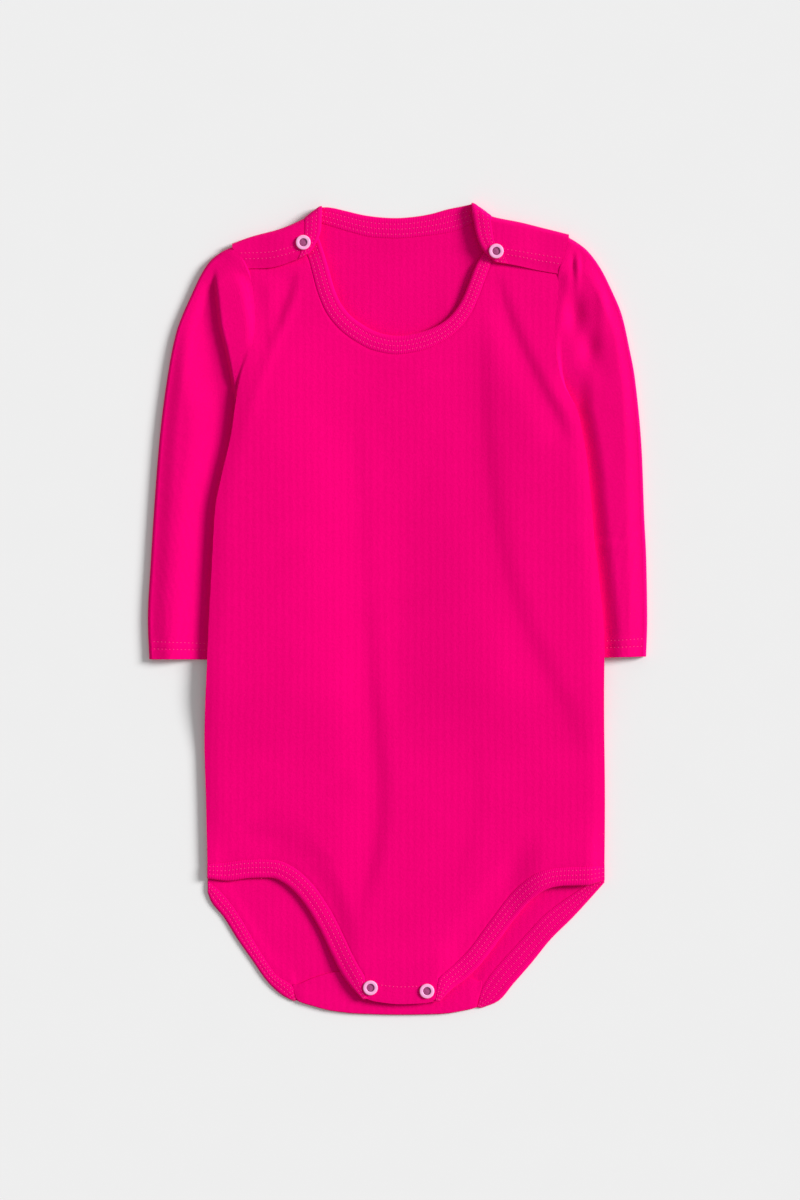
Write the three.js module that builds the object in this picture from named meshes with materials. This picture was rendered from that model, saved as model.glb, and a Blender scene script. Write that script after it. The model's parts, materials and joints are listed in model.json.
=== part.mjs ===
// A baby's long-sleeved bodysuit with snapped shoulder flaps, laid flat on its back.
// Millimetres. X runs to the right, Y to the neck and Z up from the surface it lies on.
// Every piece of cloth is a middle surface that is worked out from curves through
// short tables, and then given its wall on both sides.
import * as THREE from 'three';

// Cloth and seams
const CLOTH = 1.0;
const HALF_CLOTH = CLOTH / 2;
const SEAM_GAP = 0.3;
const ARMHOLE_GAP = 0.6;
const BAND_HALF = 0.8;
const BAND_RIM_HALF = 0.45;

// Heights of the middle surfaces above the surface that the garment lies on
const LOWEST = HALF_CLOTH;
const SIDE_RISE = 0.4;
const SIDE_SPACE = 1.9;
const FRONT_RISE = 3.1;
const BOUND_RISE = BAND_HALF - HALF_CLOTH;
const TUCKED_TOP = 1.9;
const TUCK_LIFT = 2.75;
const SHOULDER_FRONT = 2.3;
const FLAP_NECK = 5.3;
const FLAP_ARM = 4.5;
const CROTCH_EXTRA = 0.7;
const FACING_STEP = CLOTH + SEAM_GAP + 0.05;

// Torso
const SIDE_ROUND = 9;
const UNDERARM_LEFT = 106;
const UNDERARM_RIGHT = 104;
const CUFF_END = -26;

// How far the torso that lies on a sleeve reaches in from the sleeve's inner edge before it
// comes down, and where it comes down above the underarms and below the cuffs
const TUCK_NEAR = 8;
const BACK_REACH = 26;
const BACK_FADE = 34;
const FRONT_REACH = 74;
const FRONT_FADE = 52;
const TUCK_ABOVE = 4;
const CUFF_NEAR = 12;
const CUFF_FAR = 52;

// Where the side seam's round edge turns into the armhole, above the left underarm
const SIDE_SEAM_TOP = { low: 4, high: 26 };

// Where the back is thicker for its bands, at the neck and along the leg edges
const NECK_BOUND = { low: 184, high: 194, near: 52, far: 62 };
const LEG_BOUND = { near: 2, far: 12 };

// Where the front's crotch end rises, and where its shoulders go under the flaps
const CROTCH_END = { low: -186, high: -168, near: 45, far: 70 };
const UNDER_FLAP = { low: 160, high: 180, near: 34, far: 46 };
const FOLD_LIMIT = { low: 165, high: 185 };
const FOLD_RUN_IN = { inside: 6, outside: 22 };
const FLAP_SLOPE = { near: 58, far: 76 };

// Snaps
const RING_OUTER = 3.8;
const RING_INNER = 1.75;
const RING_HEIGHT = 1.0;
const RING_SIDE_HEIGHT = 0.5;
const RING_CREST_OUTER = 3.3;
const RING_CREST_INNER = 2.3;
const RING_SEGMENTS = 18;
const POST_RADIUS = 2.4;
const POST_HEIGHT = 0.8;
const POST_SEGMENTS = 16;

// Colours
const PINK = 0xf0057c;
const DEEP_PINK = 0xe00072;
const SNAP_WHITE = 0xf4dfe6;

// The torso's left edge: armhole above the underarm, side seam below it
const LEFT_EDGE = [
  { y: -138.6, x: -98.8 }, { y: -99, x: -99.6 }, { y: -70, x: -100.4 }, { y: -24, x: -98.8 },
  { y: 31.5, x: -96 }, { y: 53, x: -94.6 }, { y: 71, x: -91 }, { y: 91, x: -86.4 },
  { y: 106, x: -84.3 }, { y: 121, x: -81.4 }, { y: 136, x: -75.8 }, { y: 149, x: -73.7 },
  { y: 165, x: -74.9 }, { y: 174, x: -77.5 }, { y: 182, x: -81 }, { y: 188.5, x: -87 },
];

// The torso's right edge
const RIGHT_EDGE = [
  { y: -138.6, x: 107.1 }, { y: -99, x: 107.4 }, { y: -42, x: 106.8 }, { y: -19, x: 107 },
  { y: 19, x: 103.8 }, { y: 37, x: 101.7 }, { y: 55, x: 100.2 }, { y: 75, x: 98.2 },
  { y: 91, x: 95.7 }, { y: 104, x: 92.7 }, { y: 108.3, x: 90.1 }, { y: 116.4, x: 85.6 },
  { y: 125.4, x: 82.9 }, { y: 137, x: 81.6 }, { y: 154, x: 82 }, { y: 165, x: 83.1 },
  { y: 174, x: 83.4 }, { y: 181, x: 85.2 }, { y: 187, x: 87 }, { y: 194, x: 89.2 },
];

// The shoulder folds and the back neckline's free edge, seen from above
const SHOULDER_LINE = [
  { x: -87.4, y: 189 }, { x: -74.9, y: 193.9 }, { x: -61.4, y: 197.5 }, { x: -47.8, y: 203.4 },
  { x: -39.6, y: 209 }, { x: 38.3, y: 210.6 }, { x: 43.2, y: 206.5 }, { x: 49.6, y: 203.8 },
  { x: 63.1, y: 201.1 }, { x: 77.5, y: 197.5 }, { x: 89.2, y: 194.4 },
];
const BACK_NECKLINE = [
  { x: -39, y: 209.4 }, { x: -24.4, y: 206.4 }, { x: -14, y: 204.1 }, { x: -1, y: 203.3 },
  { x: 12, y: 204.4 }, { x: 27.3, y: 208.2 }, { x: 38.3, y: 210.4 },
];

// Where the back panel meets its neck band
const BACK_NECK_SEAM = [
  { x: -38.5, y: 200.3 }, { x: -24.4, y: 196 }, { x: -13, y: 193.4 }, { x: -1, y: 192.9 },
  { x: 12, y: 193.9 }, { x: 28.6, y: 196.4 }, { x: 38.5, y: 200.6 },
];

// The front panel's upper edge: under the left flap, down and up the neck seam, under the right
const FRONT_TOP = [
  { x: -84, y: 182.6 }, { x: -75, y: 187.3 }, { x: -61, y: 191.2 }, { x: -52, y: 195.4 },
  { x: -50.4, y: 194.8 }, { x: -49, y: 187.6 }, { x: -46.4, y: 181.6 }, { x: -44.1, y: 173 },
  { x: -41.1, y: 162.6 }, { x: -36.4, y: 152.6 }, { x: -30, y: 145 }, { x: -22.2, y: 139.2 },
  { x: -13.2, y: 134.6 }, { x: -1.2, y: 132.4 }, { x: 12.1, y: 134.4 }, { x: 22.2, y: 138.6 },
  { x: 30.9, y: 144.8 }, { x: 38.2, y: 154.4 }, { x: 43.8, y: 167.8 }, { x: 47.7, y: 178 },
  { x: 51.5, y: 184.2 }, { x: 54.3, y: 192 }, { x: 56, y: 195.2 }, { x: 65, y: 194 },
  { x: 77.5, y: 190.6 }, { x: 87.6, y: 187.4 },
];

// The front panel's lower edge: left leg seam, crotch end, right leg seam
const FRONT_BOTTOM = [
  { x: -98.6, y: -131.9 }, { x: -92, y: -131.6 }, { x: -82.2, y: -130.2 }, { x: -71.4, y: -129.6 },
  { x: -62.9, y: -130 }, { x: -55.8, y: -132.8 }, { x: -48.7, y: -138 }, { x: -43, y: -144.2 },
  { x: -38.1, y: -151.1 }, { x: -33.1, y: -159.6 }, { x: -28.8, y: -168.2 }, { x: -23.8, y: -178.8 },
  { x: -19.2, y: -187.2 }, { x: -17.3, y: -190.6 }, { x: -16.1, y: -201.9 }, { x: -9, y: -203.7 },
  { x: 1, y: -204.7 }, { x: 11.7, y: -204.3 }, { x: 19.3, y: -203 }, { x: 20.6, y: -192 },
  { x: 24.7, y: -187.9 }, { x: 30, y: -183.3 }, { x: 36.9, y: -176.3 }, { x: 43.7, y: -167.2 },
  { x: 49.9, y: -158.8 }, { x: 57.5, y: -148.8 }, { x: 64.3, y: -142 }, { x: 72, y: -136.8 },
  { x: 81.1, y: -134 }, { x: 92.6, y: -133.4 }, { x: 107, y: -132.9 },
];

// The back panel's lower edge: left leg seam, crotch end, right leg seam
const BACK_BOTTOM = [
  { x: -98.7, y: -141 }, { x: -91.4, y: -147.3 }, { x: -85, y: -155.4 }, { x: -79.8, y: -163.5 },
  { x: -75, y: -172 }, { x: -69.5, y: -181 }, { x: -63, y: -190 }, { x: -54.4, y: -196.2 },
  { x: -52.8, y: -203 }, { x: -45.2, y: -205.8 }, { x: -34.3, y: -208.6 }, { x: -20.3, y: -210.1 },
  { x: 1, y: -210.6 }, { x: 22.4, y: -210.2 }, { x: 35.4, y: -208.2 }, { x: 41, y: -206.6 },
  { x: 42.6, y: -199 }, { x: 46.8, y: -191.4 }, { x: 52.9, y: -183.8 }, { x: 60.5, y: -175.4 },
  { x: 68.1, y: -167.1 }, { x: 75.8, y: -158.9 }, { x: 84.2, y: -152.2 }, { x: 95, y: -144.9 },
  { x: 107, y: -135.6 },
];

// Lines of the front's cloth from its upper edge to its lower edge
const FRONT_LINES = [
  { top: -84, bottom: -98.6 }, { top: -77, bottom: -89 }, { top: -70, bottom: -79 },
  { top: -62.5, bottom: -70 }, { top: -55, bottom: -62 }, { top: -51, bottom: -54 },
  { top: -49.6, bottom: -46 }, { top: -47.2, bottom: -39 }, { top: -44.6, bottom: -32 },
  { top: -42, bottom: -25.5 }, { top: -37.6, bottom: -20.3 }, { top: -31.5, bottom: -17.3 },
  { top: -23, bottom: -16.1 }, { top: -12.5, bottom: -9 }, { top: -1, bottom: 1 },
  { top: 11.5, bottom: 10.5 }, { top: 23, bottom: 19.3 }, { top: 32, bottom: 20.6 },
  { top: 39, bottom: 26.5 }, { top: 43.6, bottom: 34 }, { top: 47.2, bottom: 43 },
  { top: 50.8, bottom: 53 }, { top: 53.6, bottom: 63 }, { top: 55.8, bottom: 73 },
  { top: 62.5, bottom: 82.5 }, { top: 70.5, bottom: 91 }, { top: 79, bottom: 99 },
  { top: 87.6, bottom: 107 },
];
const FRONT_NECK_FIRST = 5;
const FRONT_NECK_LAST = 23;
const FRONT_LEG_LEFT_LAST = 12;
const FRONT_LEG_RIGHT_FIRST = 16;

// Lines of the back's cloth from its upper edge to its lower edge
const BACK_LINES = [
  { top: -85, bottom: -98.7 }, { top: -77, bottom: -92 }, { top: -68, bottom: -85 },
  { top: -58.5, bottom: -78 }, { top: -48.4, bottom: -70.5 }, { top: -38.5, bottom: -63 },
  { top: -28.5, bottom: -54.4 }, { top: -19.5, bottom: -52.8 }, { top: -10.5, bottom: -40 },
  { top: -1, bottom: -20 }, { top: 9, bottom: 1 }, { top: 18, bottom: 22 },
  { top: 27.5, bottom: 41 }, { top: 37.5, bottom: 42.6 }, { top: 48.4, bottom: 50 },
  { top: 58, bottom: 60.5 }, { top: 68, bottom: 71.5 }, { top: 78, bottom: 84 },
  { top: 88, bottom: 107 },
];
const BACK_NECK_LEFT = 4;
const BACK_NECK_RIGHT = 14;
const BACK_LEG_LEFT_LAST = 7;
const BACK_LEG_RIGHT_FIRST = 12;

// The flaps: their lower edges and the seam to the neck band
const FLAP_LEFT_LOW = [
  { x: -79, y: 176.8 }, { x: -65.9, y: 177.2 }, { x: -57.7, y: 179 }, { x: -51, y: 181.6 },
];
const FLAP_RIGHT_LOW = [
  { x: 57.5, y: 179.2 }, { x: 63.1, y: 178.1 }, { x: 73.8, y: 175.9 }, { x: 85, y: 174.1 },
];
const FLAP_LEFT_SEAM = [
  { y: 180, x: -52.6 }, { y: 186, x: -50.4 }, { y: 191.3, x: -48.9 }, { y: 200.6, x: -48.4 },
];
const FLAP_RIGHT_SEAM = [
  { y: 178.5, x: 57.4 }, { y: 183.2, x: 55.6 }, { y: 187, x: 52.6 }, { y: 191.5, x: 49.8 },
  { y: 201, x: 48.4 },
];
const FLAP_LEFT_FREE = [
  { y: 184.6, x: -46 }, { y: 188.5, x: -43.3 }, { y: 197.3, x: -40 }, { y: 206, x: -39.6 },
];
const FLAP_RIGHT_FREE = [
  { y: 180.2, x: 50.2 }, { y: 184.9, x: 45.1 }, { y: 190.3, x: 41.9 }, { y: 197.5, x: 40 },
  { y: 207, x: 38.4 },
];

// Sleeves: outer and inner edges seen from above, and a row for each section
const SLEEVE_LEFT_OUTER = [
  { y: -25.7, x: -129.2 }, { y: -5.5, x: -130 }, { y: 25.7, x: -128.4 }, { y: 56.9, x: -126.4 },
  { y: 89.2, x: -123.8 }, { y: 118.3, x: -120.1 }, { y: 143.3, x: -115.4 }, { y: 164.1, x: -107.3 },
  { y: 179.7, x: -99.3 }, { y: 185.4, x: -93 }, { y: 188.8, x: -86 },
];
const SLEEVE_LEFT_INNER = [
  { y: -26, x: -66 }, { y: 20, x: -68 }, { y: 60, x: -72 }, { y: 85, x: -78 },
  { y: 98, x: -82.6 }, { y: 105, x: -85.6 },
];
const SLEEVE_RIGHT_OUTER = [
  { y: -24.4, x: 128.9 }, { y: -5.5, x: 129.5 }, { y: 25.7, x: 129 }, { y: 48.6, x: 127.9 },
  { y: 82.2, x: 126.6 }, { y: 120, x: 123 }, { y: 137, x: 119.9 }, { y: 153.3, x: 116.3 },
  { y: 166.9, x: 110.8 }, { y: 177.6, x: 105.6 }, { y: 186.7, x: 99 }, { y: 191, x: 93.6 },
  { y: 194, x: 88.6 },
];
const SLEEVE_RIGHT_INNER = [
  { y: -26, x: 65 }, { y: 20, x: 70 }, { y: 60, x: 79 }, { y: 85, x: 86.5 },
  { y: 97, x: 91.4 }, { y: 103, x: 94 },
];
const SLEEVE_SECTIONS = [
  { along: 0, outer: 1, inner: 1 }, { along: 0.06, outer: 0.977, inner: 0.993 },
  { along: 0.12, outer: 0.95, inner: 0.98 }, { along: 0.2, outer: 0.905, inner: 0.955 },
  { along: 0.3, outer: 0.835, inner: 0.915 }, { along: 0.42, outer: 0.72, inner: 0.83 },
  { along: 0.55, outer: 0.565, inner: 0.69 }, { along: 0.7, outer: 0.375, inner: 0.47 },
  { along: 0.85, outer: 0.19, inner: 0.24 }, { along: 1, outer: 0, inner: 0 },
];
const SLEEVE_RINGS = 19;
const SLEEVE_TOP_POINTS = 11;
const SLEEVE_UNDER_POINTS = 5;
const SLEEVE_BOW_LENGTH = 0.5;

// The dark crease of the left sleeve, then the torso's edge that lies on the sleeve
const LEFT_GUTTER = [
  { y: 106, x: -84.8 }, { y: 120, x: -86.8 }, { y: 134.4, x: -89.7 }, { y: 148, x: -93.1 },
  { y: 161.5, x: -94.6 }, { y: 172.4, x: -95.7 }, { y: 190, x: -96 },
];

// Folds of the front: line of each from y0 to y1, its width and its height, down or up
const FRONT_FOLDS = [
  { y1: 108, x1: -27, y0: 0, x0: -18.7, width: 9, height: -0.7 },
  { y1: 0, x1: -18.7, y0: -106, x0: -11.6, width: 8, height: -1.3 },
  { y1: -106, x1: -11.6, y0: -170, x0: -20.3, width: 8, height: -1.2 },
  { y1: 160, x1: 42.5, y0: 55, x0: 44.2, width: 7, height: -0.9 },
  { y1: 55, x1: 44.2, y0: -40, x0: 87, width: 8, height: -0.8 },
  { y1: 172, x1: 52, y0: 90, x0: 84, width: 5, height: -1.1 },
  { y1: 90, x1: 84, y0: 0, x0: 98, width: 5, height: -0.7 },
  { y1: 172, x1: -54, y0: 152, x0: -59.5, width: 4.5, height: -0.9 },
  { y1: 168, x1: -49.7, y0: 98, x0: -67.6, width: 5.5, height: 0.9 },
];

const clamp01 = (value) => Math.min(1, Math.max(0, value));

// 0 before a, 1 after b, smooth between; a may be larger than b
function ease(a, b, value) {
  const t = clamp01((value - a) / (b - a));
  return t * t * (3 - 2 * t);
}

const mix = (a, b, t) => a + (b - a) * t;

// A smooth curve through a table's rows that never swings past them, flat outside them
function through(rows, input, output) {
  const sorted = [...rows].sort((a, b) => a[input] - b[input]);
  const u = sorted.map((row) => row[input]);
  const v = sorted.map((row) => row[output]);
  const last = u.length - 1;
  const secant = [];
  for (let k = 0; k < last; k += 1) {
    secant.push((v[k + 1] - v[k]) / (u[k + 1] - u[k]));
  }
  const slope = [secant[0]];
  for (let k = 1; k < last; k += 1) {
    const product = secant[k - 1] * secant[k];
    slope.push(product > 0 ? (2 * product) / (secant[k - 1] + secant[k]) : 0);
  }
  slope.push(secant[last - 1]);
  return (value) => {
    if (value <= u[0]) return v[0];
    if (value >= u[last]) return v[last];
    let k = 0;
    while (value > u[k + 1]) k += 1;
    const step = u[k + 1] - u[k];
    const t = (value - u[k]) / step;
    const a = v[k] * (1 + 2 * t) * (1 - t) ** 2;
    const b = v[k + 1] * t * t * (3 - 2 * t);
    return a + b + step * t * (1 - t) * (slope[k] * (1 - t) - slope[k + 1] * t);
  };
}

const leftEdge = through(LEFT_EDGE, 'y', 'x');
const rightEdge = through(RIGHT_EDGE, 'y', 'x');
const shoulderLine = through(SHOULDER_LINE, 'x', 'y');
const backNeckline = through(BACK_NECKLINE, 'x', 'y');
const backNeckSeam = through(BACK_NECK_SEAM, 'x', 'y');
const frontTop = through(FRONT_TOP, 'x', 'y');
const frontBottom = through(FRONT_BOTTOM, 'x', 'y');
const backBottom = through(BACK_BOTTOM, 'x', 'y');
const leftInner = through(SLEEVE_LEFT_INNER, 'y', 'x');
const rightInner = through(SLEEVE_RIGHT_INNER, 'y', 'x');
const leftGutterAbove = through(LEFT_GUTTER, 'y', 'x');

// How far the torso is raised, 0 to 1, by the sleeves that are tucked under it
function tuckLift(x, y, reach, fade) {
  const fromLeft = 1 - ease(TUCK_NEAR, reach, x - leftInner(y));
  const fromRight = 1 - ease(TUCK_NEAR, reach, rightInner(y) - x);
  const above = (x < 0 ? UNDERARM_LEFT : UNDERARM_RIGHT) + TUCK_ABOVE;
  const upper = 1 - ease(above, above + fade, y);
  const lower = ease(CUFF_END - CUFF_FAR, CUFF_END - CUFF_NEAR, y);
  return Math.max(fromLeft, fromRight) * upper * lower;
}

// 1 along the side seams, 0 at the armholes, where the cloth runs on into the sleeve
function sideSeam(y) {
  return 1 - ease(UNDERARM_LEFT + SIDE_SEAM_TOP.low, UNDERARM_LEFT + SIDE_SEAM_TOP.high, y);
}

// Distance in from the nearer side edge
function fromSide(x, y) {
  return Math.max(0, Math.min(x - leftEdge(y), rightEdge(y) - x));
}

// Middle surface of the back
function backHeight(x, y) {
  const side = (1 - ease(0, SIDE_ROUND, fromSide(x, y))) * sideSeam(y);
  const neckSpan = 1 - ease(NECK_BOUND.near, NECK_BOUND.far, Math.abs(x));
  const neck = ease(NECK_BOUND.low, NECK_BOUND.high, y) * neckSpan;
  const leg = 1 - ease(LEG_BOUND.near, LEG_BOUND.far, y - backBottom(x));
  const bound = Math.max(neck, leg);
  const lift = TUCK_LIFT * tuckLift(x, y, BACK_REACH, BACK_FADE);
  return LOWEST + lift + SIDE_RISE * side + BOUND_RISE * bound * (1 - side);
}

// A soft trough or ridge along a line from (x1, y1) down to (x0, y0)
function fold(row, x, y) {
  const t = (y - row.y0) / (row.y1 - row.y0);
  const line = mix(row.x0, row.x1, clamp01(t));
  const { inside, outside } = FOLD_RUN_IN;
  const lower = ease(row.y0 - outside, row.y0 + inside, y);
  const upper = 1 - ease(row.y1 - inside, row.y1 + outside, y);
  return row.height * lower * upper * Math.exp(-(((x - line) / row.width) ** 2));
}

// Middle surface of the front
function frontHeight(x, y) {
  const inside = Math.sin((Math.PI / 2) * clamp01(fromSide(x, y) / SIDE_ROUND));
  const seam = sideSeam(y);
  const edge = SIDE_RISE + SIDE_SPACE;
  const rise = mix(FRONT_RISE, mix(edge, FRONT_RISE, inside), seam);
  let folds = 0;
  for (const row of FRONT_FOLDS) {
    folds += fold(row, x, y);
  }
  const free = mix(1, inside, seam) * (1 - ease(FOLD_LIMIT.low, FOLD_LIMIT.high, y));
  const crotchSpan = 1 - ease(CROTCH_END.near, CROTCH_END.far, Math.abs(x));
  const crotch = CROTCH_EXTRA * (1 - ease(CROTCH_END.low, CROTCH_END.high, y)) * crotchSpan;
  const lift = TUCK_LIFT * tuckLift(x, y, FRONT_REACH, FRONT_FADE);
  const open = LOWEST + lift + rise + folds * free + crotch;
  const flapSpan = ease(UNDER_FLAP.near, UNDER_FLAP.far, Math.abs(x));
  const underFlap = ease(UNDER_FLAP.low, UNDER_FLAP.high, y) * flapSpan;
  return mix(open, SHOULDER_FRONT, underFlap);
}

// Middle surface of the shoulder flaps
function flapHeight(x) {
  return mix(FLAP_NECK, FLAP_ARM, ease(FLAP_SLOPE.near, FLAP_SLOPE.far, Math.abs(x)));
}

// Closed wall from a middle surface that is given as grids of points, welded where they meet
function wall(grids, half, closed = false) {
  const points = [];
  const halves = [];
  const known = new Map();
  const index = (point) => {
    const key = [point.x, point.y, point.z].map((value) => Math.round(value * 1000)).join(' ');
    if (!known.has(key)) {
      known.set(key, points.length);
      points.push(point);
      halves.push(point.half ?? half);
    }
    return known.get(key);
  };
  const faces = [];
  for (const grid of grids) {
    const ids = grid.map((row) => row.map(index));
    for (let i = 0; i + 1 < ids.length; i += 1) {
      const count = closed ? ids[i].length : ids[i].length - 1;
      for (let j = 0; j < count; j += 1) {
        const next = (j + 1) % ids[i].length;
        const quad = [ids[i][j], ids[i][next], ids[i + 1][next], ids[i + 1][j]];
        for (const face of [[quad[0], quad[1], quad[2]], [quad[0], quad[2], quad[3]]]) {
          if (new Set(face).size === 3) faces.push(face);
        }
      }
    }
  }
  const normals = points.map(() => new THREE.Vector3());
  const edges = new Map();
  for (const [a, b, c] of faces) {
    const ab = new THREE.Vector3().subVectors(points[b], points[a]);
    const ac = new THREE.Vector3().subVectors(points[c], points[a]);
    const normal = ab.cross(ac);
    for (const id of [a, b, c]) normals[id].add(normal);
    for (const [from, to] of [[a, b], [b, c], [c, a]]) edges.set(`${from} ${to}`, [from, to]);
  }
  const count = points.length;
  const position = [];
  for (const sign of [1, -1]) {
    points.forEach((point, id) => {
      const moved = normals[id].clone().normalize().multiplyScalar(sign * halves[id]).add(point);
      position.push(moved.x, moved.y, moved.z);
    });
  }
  const triangles = [];
  for (const [a, b, c] of faces) {
    triangles.push([a, b, c], [count + c, count + b, count + a]);
  }
  for (const [from, to] of edges.values()) {
    if (!edges.has(`${to} ${from}`)) {
      triangles.push([from, count + from, count + to], [from, count + to, to]);
    }
  }
  const corner = (id) => new THREE.Vector3().fromArray(position, 3 * id);
  let volume = 0;
  for (const [a, b, c] of triangles) {
    volume += corner(a).dot(corner(b).cross(corner(c)));
  }
  const facingOut = volume > 0 ? triangles : triangles.map(([a, b, c]) => [a, c, b]);
  const geometry = new THREE.BufferGeometry();
  geometry.setAttribute('position', new THREE.Float32BufferAttribute(position, 3));
  geometry.setIndex(facingOut.flat());
  geometry.computeVertexNormals();
  return geometry;
}

// Grid of a panel from its lower to its upper edge, along lines that are straight in
// the middle and take on the curve of the side edges over the last few, the bent ones.
const ROW_CROWDING = 1.2;

function panelGrid(lines, low, high, height, steps, bent) {
  const last = lines.length - 1;
  const grid = [];
  for (let i = 0; i <= steps; i += 1) {
    const t = 1 - (1 - i / steps) ** ROW_CROWDING;
    grid.push(lines.map((line, j) => {
      const y0 = low(line.bottom);
      const y1 = high(line.top);
      const y = mix(y0, y1, t);
      const edge = j < last / 2 ? leftEdge : rightEdge;
      const curve = edge(y) - mix(edge(y0), edge(y1), t);
      const x0 = j === 0 || j === last ? edge(y0) : line.bottom;
      const x1 = j === 0 || j === last ? edge(y1) : line.top;
      const x = mix(x0, x1, t) + curve * clamp01(1 - Math.min(j, last - j) / bent);
      return new THREE.Vector3(x, y, height(x, y));
    }));
  }
  return grid;
}

// Outward direction, seen from above, at each point of an edge with its cloth on the left
// hand of its direction, unless an end has one of its own
function outwards(edge, ends) {
  return edge.map((point, k) => {
    if (k === 0 && ends.first) return ends.first;
    if (k === edge.length - 1 && ends.last) return ends.last;
    const before = edge[Math.max(0, k - 1)];
    const after = edge[Math.min(edge.length - 1, k + 1)];
    const along = new THREE.Vector3(after.x - before.x, after.y - before.y, 0).normalize();
    return new THREE.Vector3(along.y, -along.x, 0);
  });
}

// Rows of a band's grid between its seam and its free edge, which is thinner
const BAND_STATIONS = [
  { share: 0, half: BAND_HALF }, { share: 0.5, half: BAND_HALF },
  { share: 0.86, half: BAND_HALF }, { share: 1, half: BAND_RIM_HALF },
];

function bandWall(seams, frees, height) {
  const grid = BAND_STATIONS.map((station) => seams.map((seam, k) => {
    const point = new THREE.Vector3().lerpVectors(seam, frees[k], station.share);
    if (height) point.z = height(point.x, point.y);
    point.half = station.half;
    return point;
  }));
  return wall([grid], BAND_HALF);
}

// Band along a panel's edge, in the panel's own surface
function edgeBand(edge, width, height, ends = {}) {
  const out = outwards(edge, ends);
  const seams = edge.map((point, k) => point.clone().addScaledVector(out[k], SEAM_GAP));
  const frees = edge.map((point, k) => point.clone().addScaledVector(out[k], width(point, k)));
  return bandWall(seams, frees, height);
}

const group = new THREE.Group();

function add(name, geometry, colour, roughness = 0.85) {
  const material = new THREE.MeshStandardMaterial({ color: colour, roughness, metalness: 0 });
  const mesh = new THREE.Mesh(geometry, material);
  mesh.name = name;
  group.add(mesh);
  return mesh;
}

// Front
const FRONT_STEPS = 27;
const FRONT_BENT_LINES = 5;
const frontGrid = panelGrid(
  FRONT_LINES, frontBottom, frontTop, frontHeight, FRONT_STEPS, FRONT_BENT_LINES,
);
add('front', wall([frontGrid], HALF_CLOTH), PINK);

// Back with its flaps, which turn over the shoulders in a round fold
const BACK_STEPS = 27;
const BACK_BENT_LINES = 4;
const FOLD_STEPS = 6;
const FLAP_STEPS = 4;
const CORNER_LENGTH = 10;
const FOLD_INSET = 3;

function foldRadius(x, y) {
  return (flapHeight(x) - backHeight(x, y)) / 2;
}

function backTop(x) {
  const seam = backNeckSeam(x);
  const neckEnd = BACK_LINES[BACK_NECK_RIGHT].top;
  const corner = ease(neckEnd - CORNER_LENGTH, neckEnd, Math.abs(x));
  const radius = foldRadius(x, shoulderLine(x) - FOLD_INSET);
  const shoulder = shoulderLine(x) - HALF_CLOTH - radius;
  return Math.abs(x) < neckEnd ? mix(seam, shoulder, corner) : shoulder;
}

const backGrid = panelGrid(
  BACK_LINES, backBottom, backTop, backHeight, BACK_STEPS, BACK_BENT_LINES,
);

// Flap from the fold's first row, which is the back's last, to its free lower edge
function flapGrid(from, armEdge, neckSeam, low) {
  const rows = [];
  for (let k = 0; k <= FOLD_STEPS; k += 1) {
    const angle = Math.PI * (k / FOLD_STEPS);
    rows.push(from.map((point) => {
      const radius = (flapHeight(point.x) - point.z) / 2;
      return new THREE.Vector3(
        point.x,
        point.y + radius * Math.sin(angle),
        point.z + radius * (1 - Math.cos(angle)),
      );
    }));
  }
  for (let k = 1; k <= FLAP_STEPS; k += 1) {
    rows.push(from.map((point) => {
      const arm = armEdge(point.y);
      const neck = neckSeam(point.y);
      const s = clamp01((point.x - arm) / (neck - arm));
      const foot = mix(low.arm.x, low.neck.x, s);
      const y = mix(point.y, low.edge(foot), k / FLAP_STEPS);
      const x = mix(armEdge(y), neckSeam(y), s);
      return new THREE.Vector3(x, y, flapHeight(x));
    }));
  }
  return rows;
}

const topRow = backGrid[BACK_STEPS];
const flapLeft = flapGrid(
  topRow.slice(0, BACK_NECK_LEFT + 1), leftEdge, through(FLAP_LEFT_SEAM, 'y', 'x'),
  { arm: FLAP_LEFT_LOW[0], neck: FLAP_LEFT_LOW[3], edge: through(FLAP_LEFT_LOW, 'x', 'y') },
);
const flapRight = flapGrid(
  topRow.slice(BACK_NECK_RIGHT), rightEdge, through(FLAP_RIGHT_SEAM, 'y', 'x'),
  { arm: FLAP_RIGHT_LOW[3], neck: FLAP_RIGHT_LOW[0], edge: through(FLAP_RIGHT_LOW, 'x', 'y') },
);
add('back', wall([backGrid, flapLeft, flapRight], HALF_CLOTH), PINK);

// Neck band of the back, from the left flap's corner over both folds to the right flap's:
// its reach at each fold, and how far the fold's first row is drawn towards the tip
const LEFT_FOLD_REACH = new THREE.Vector3(8.8, 6.7, 0);
const RIGHT_FOLD_REACH = new THREE.Vector3(-10.1, 7.3, 0);
const TIP_PULL = 0.85;
const NECK_BACK_NARROWING = 0.95;

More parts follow.
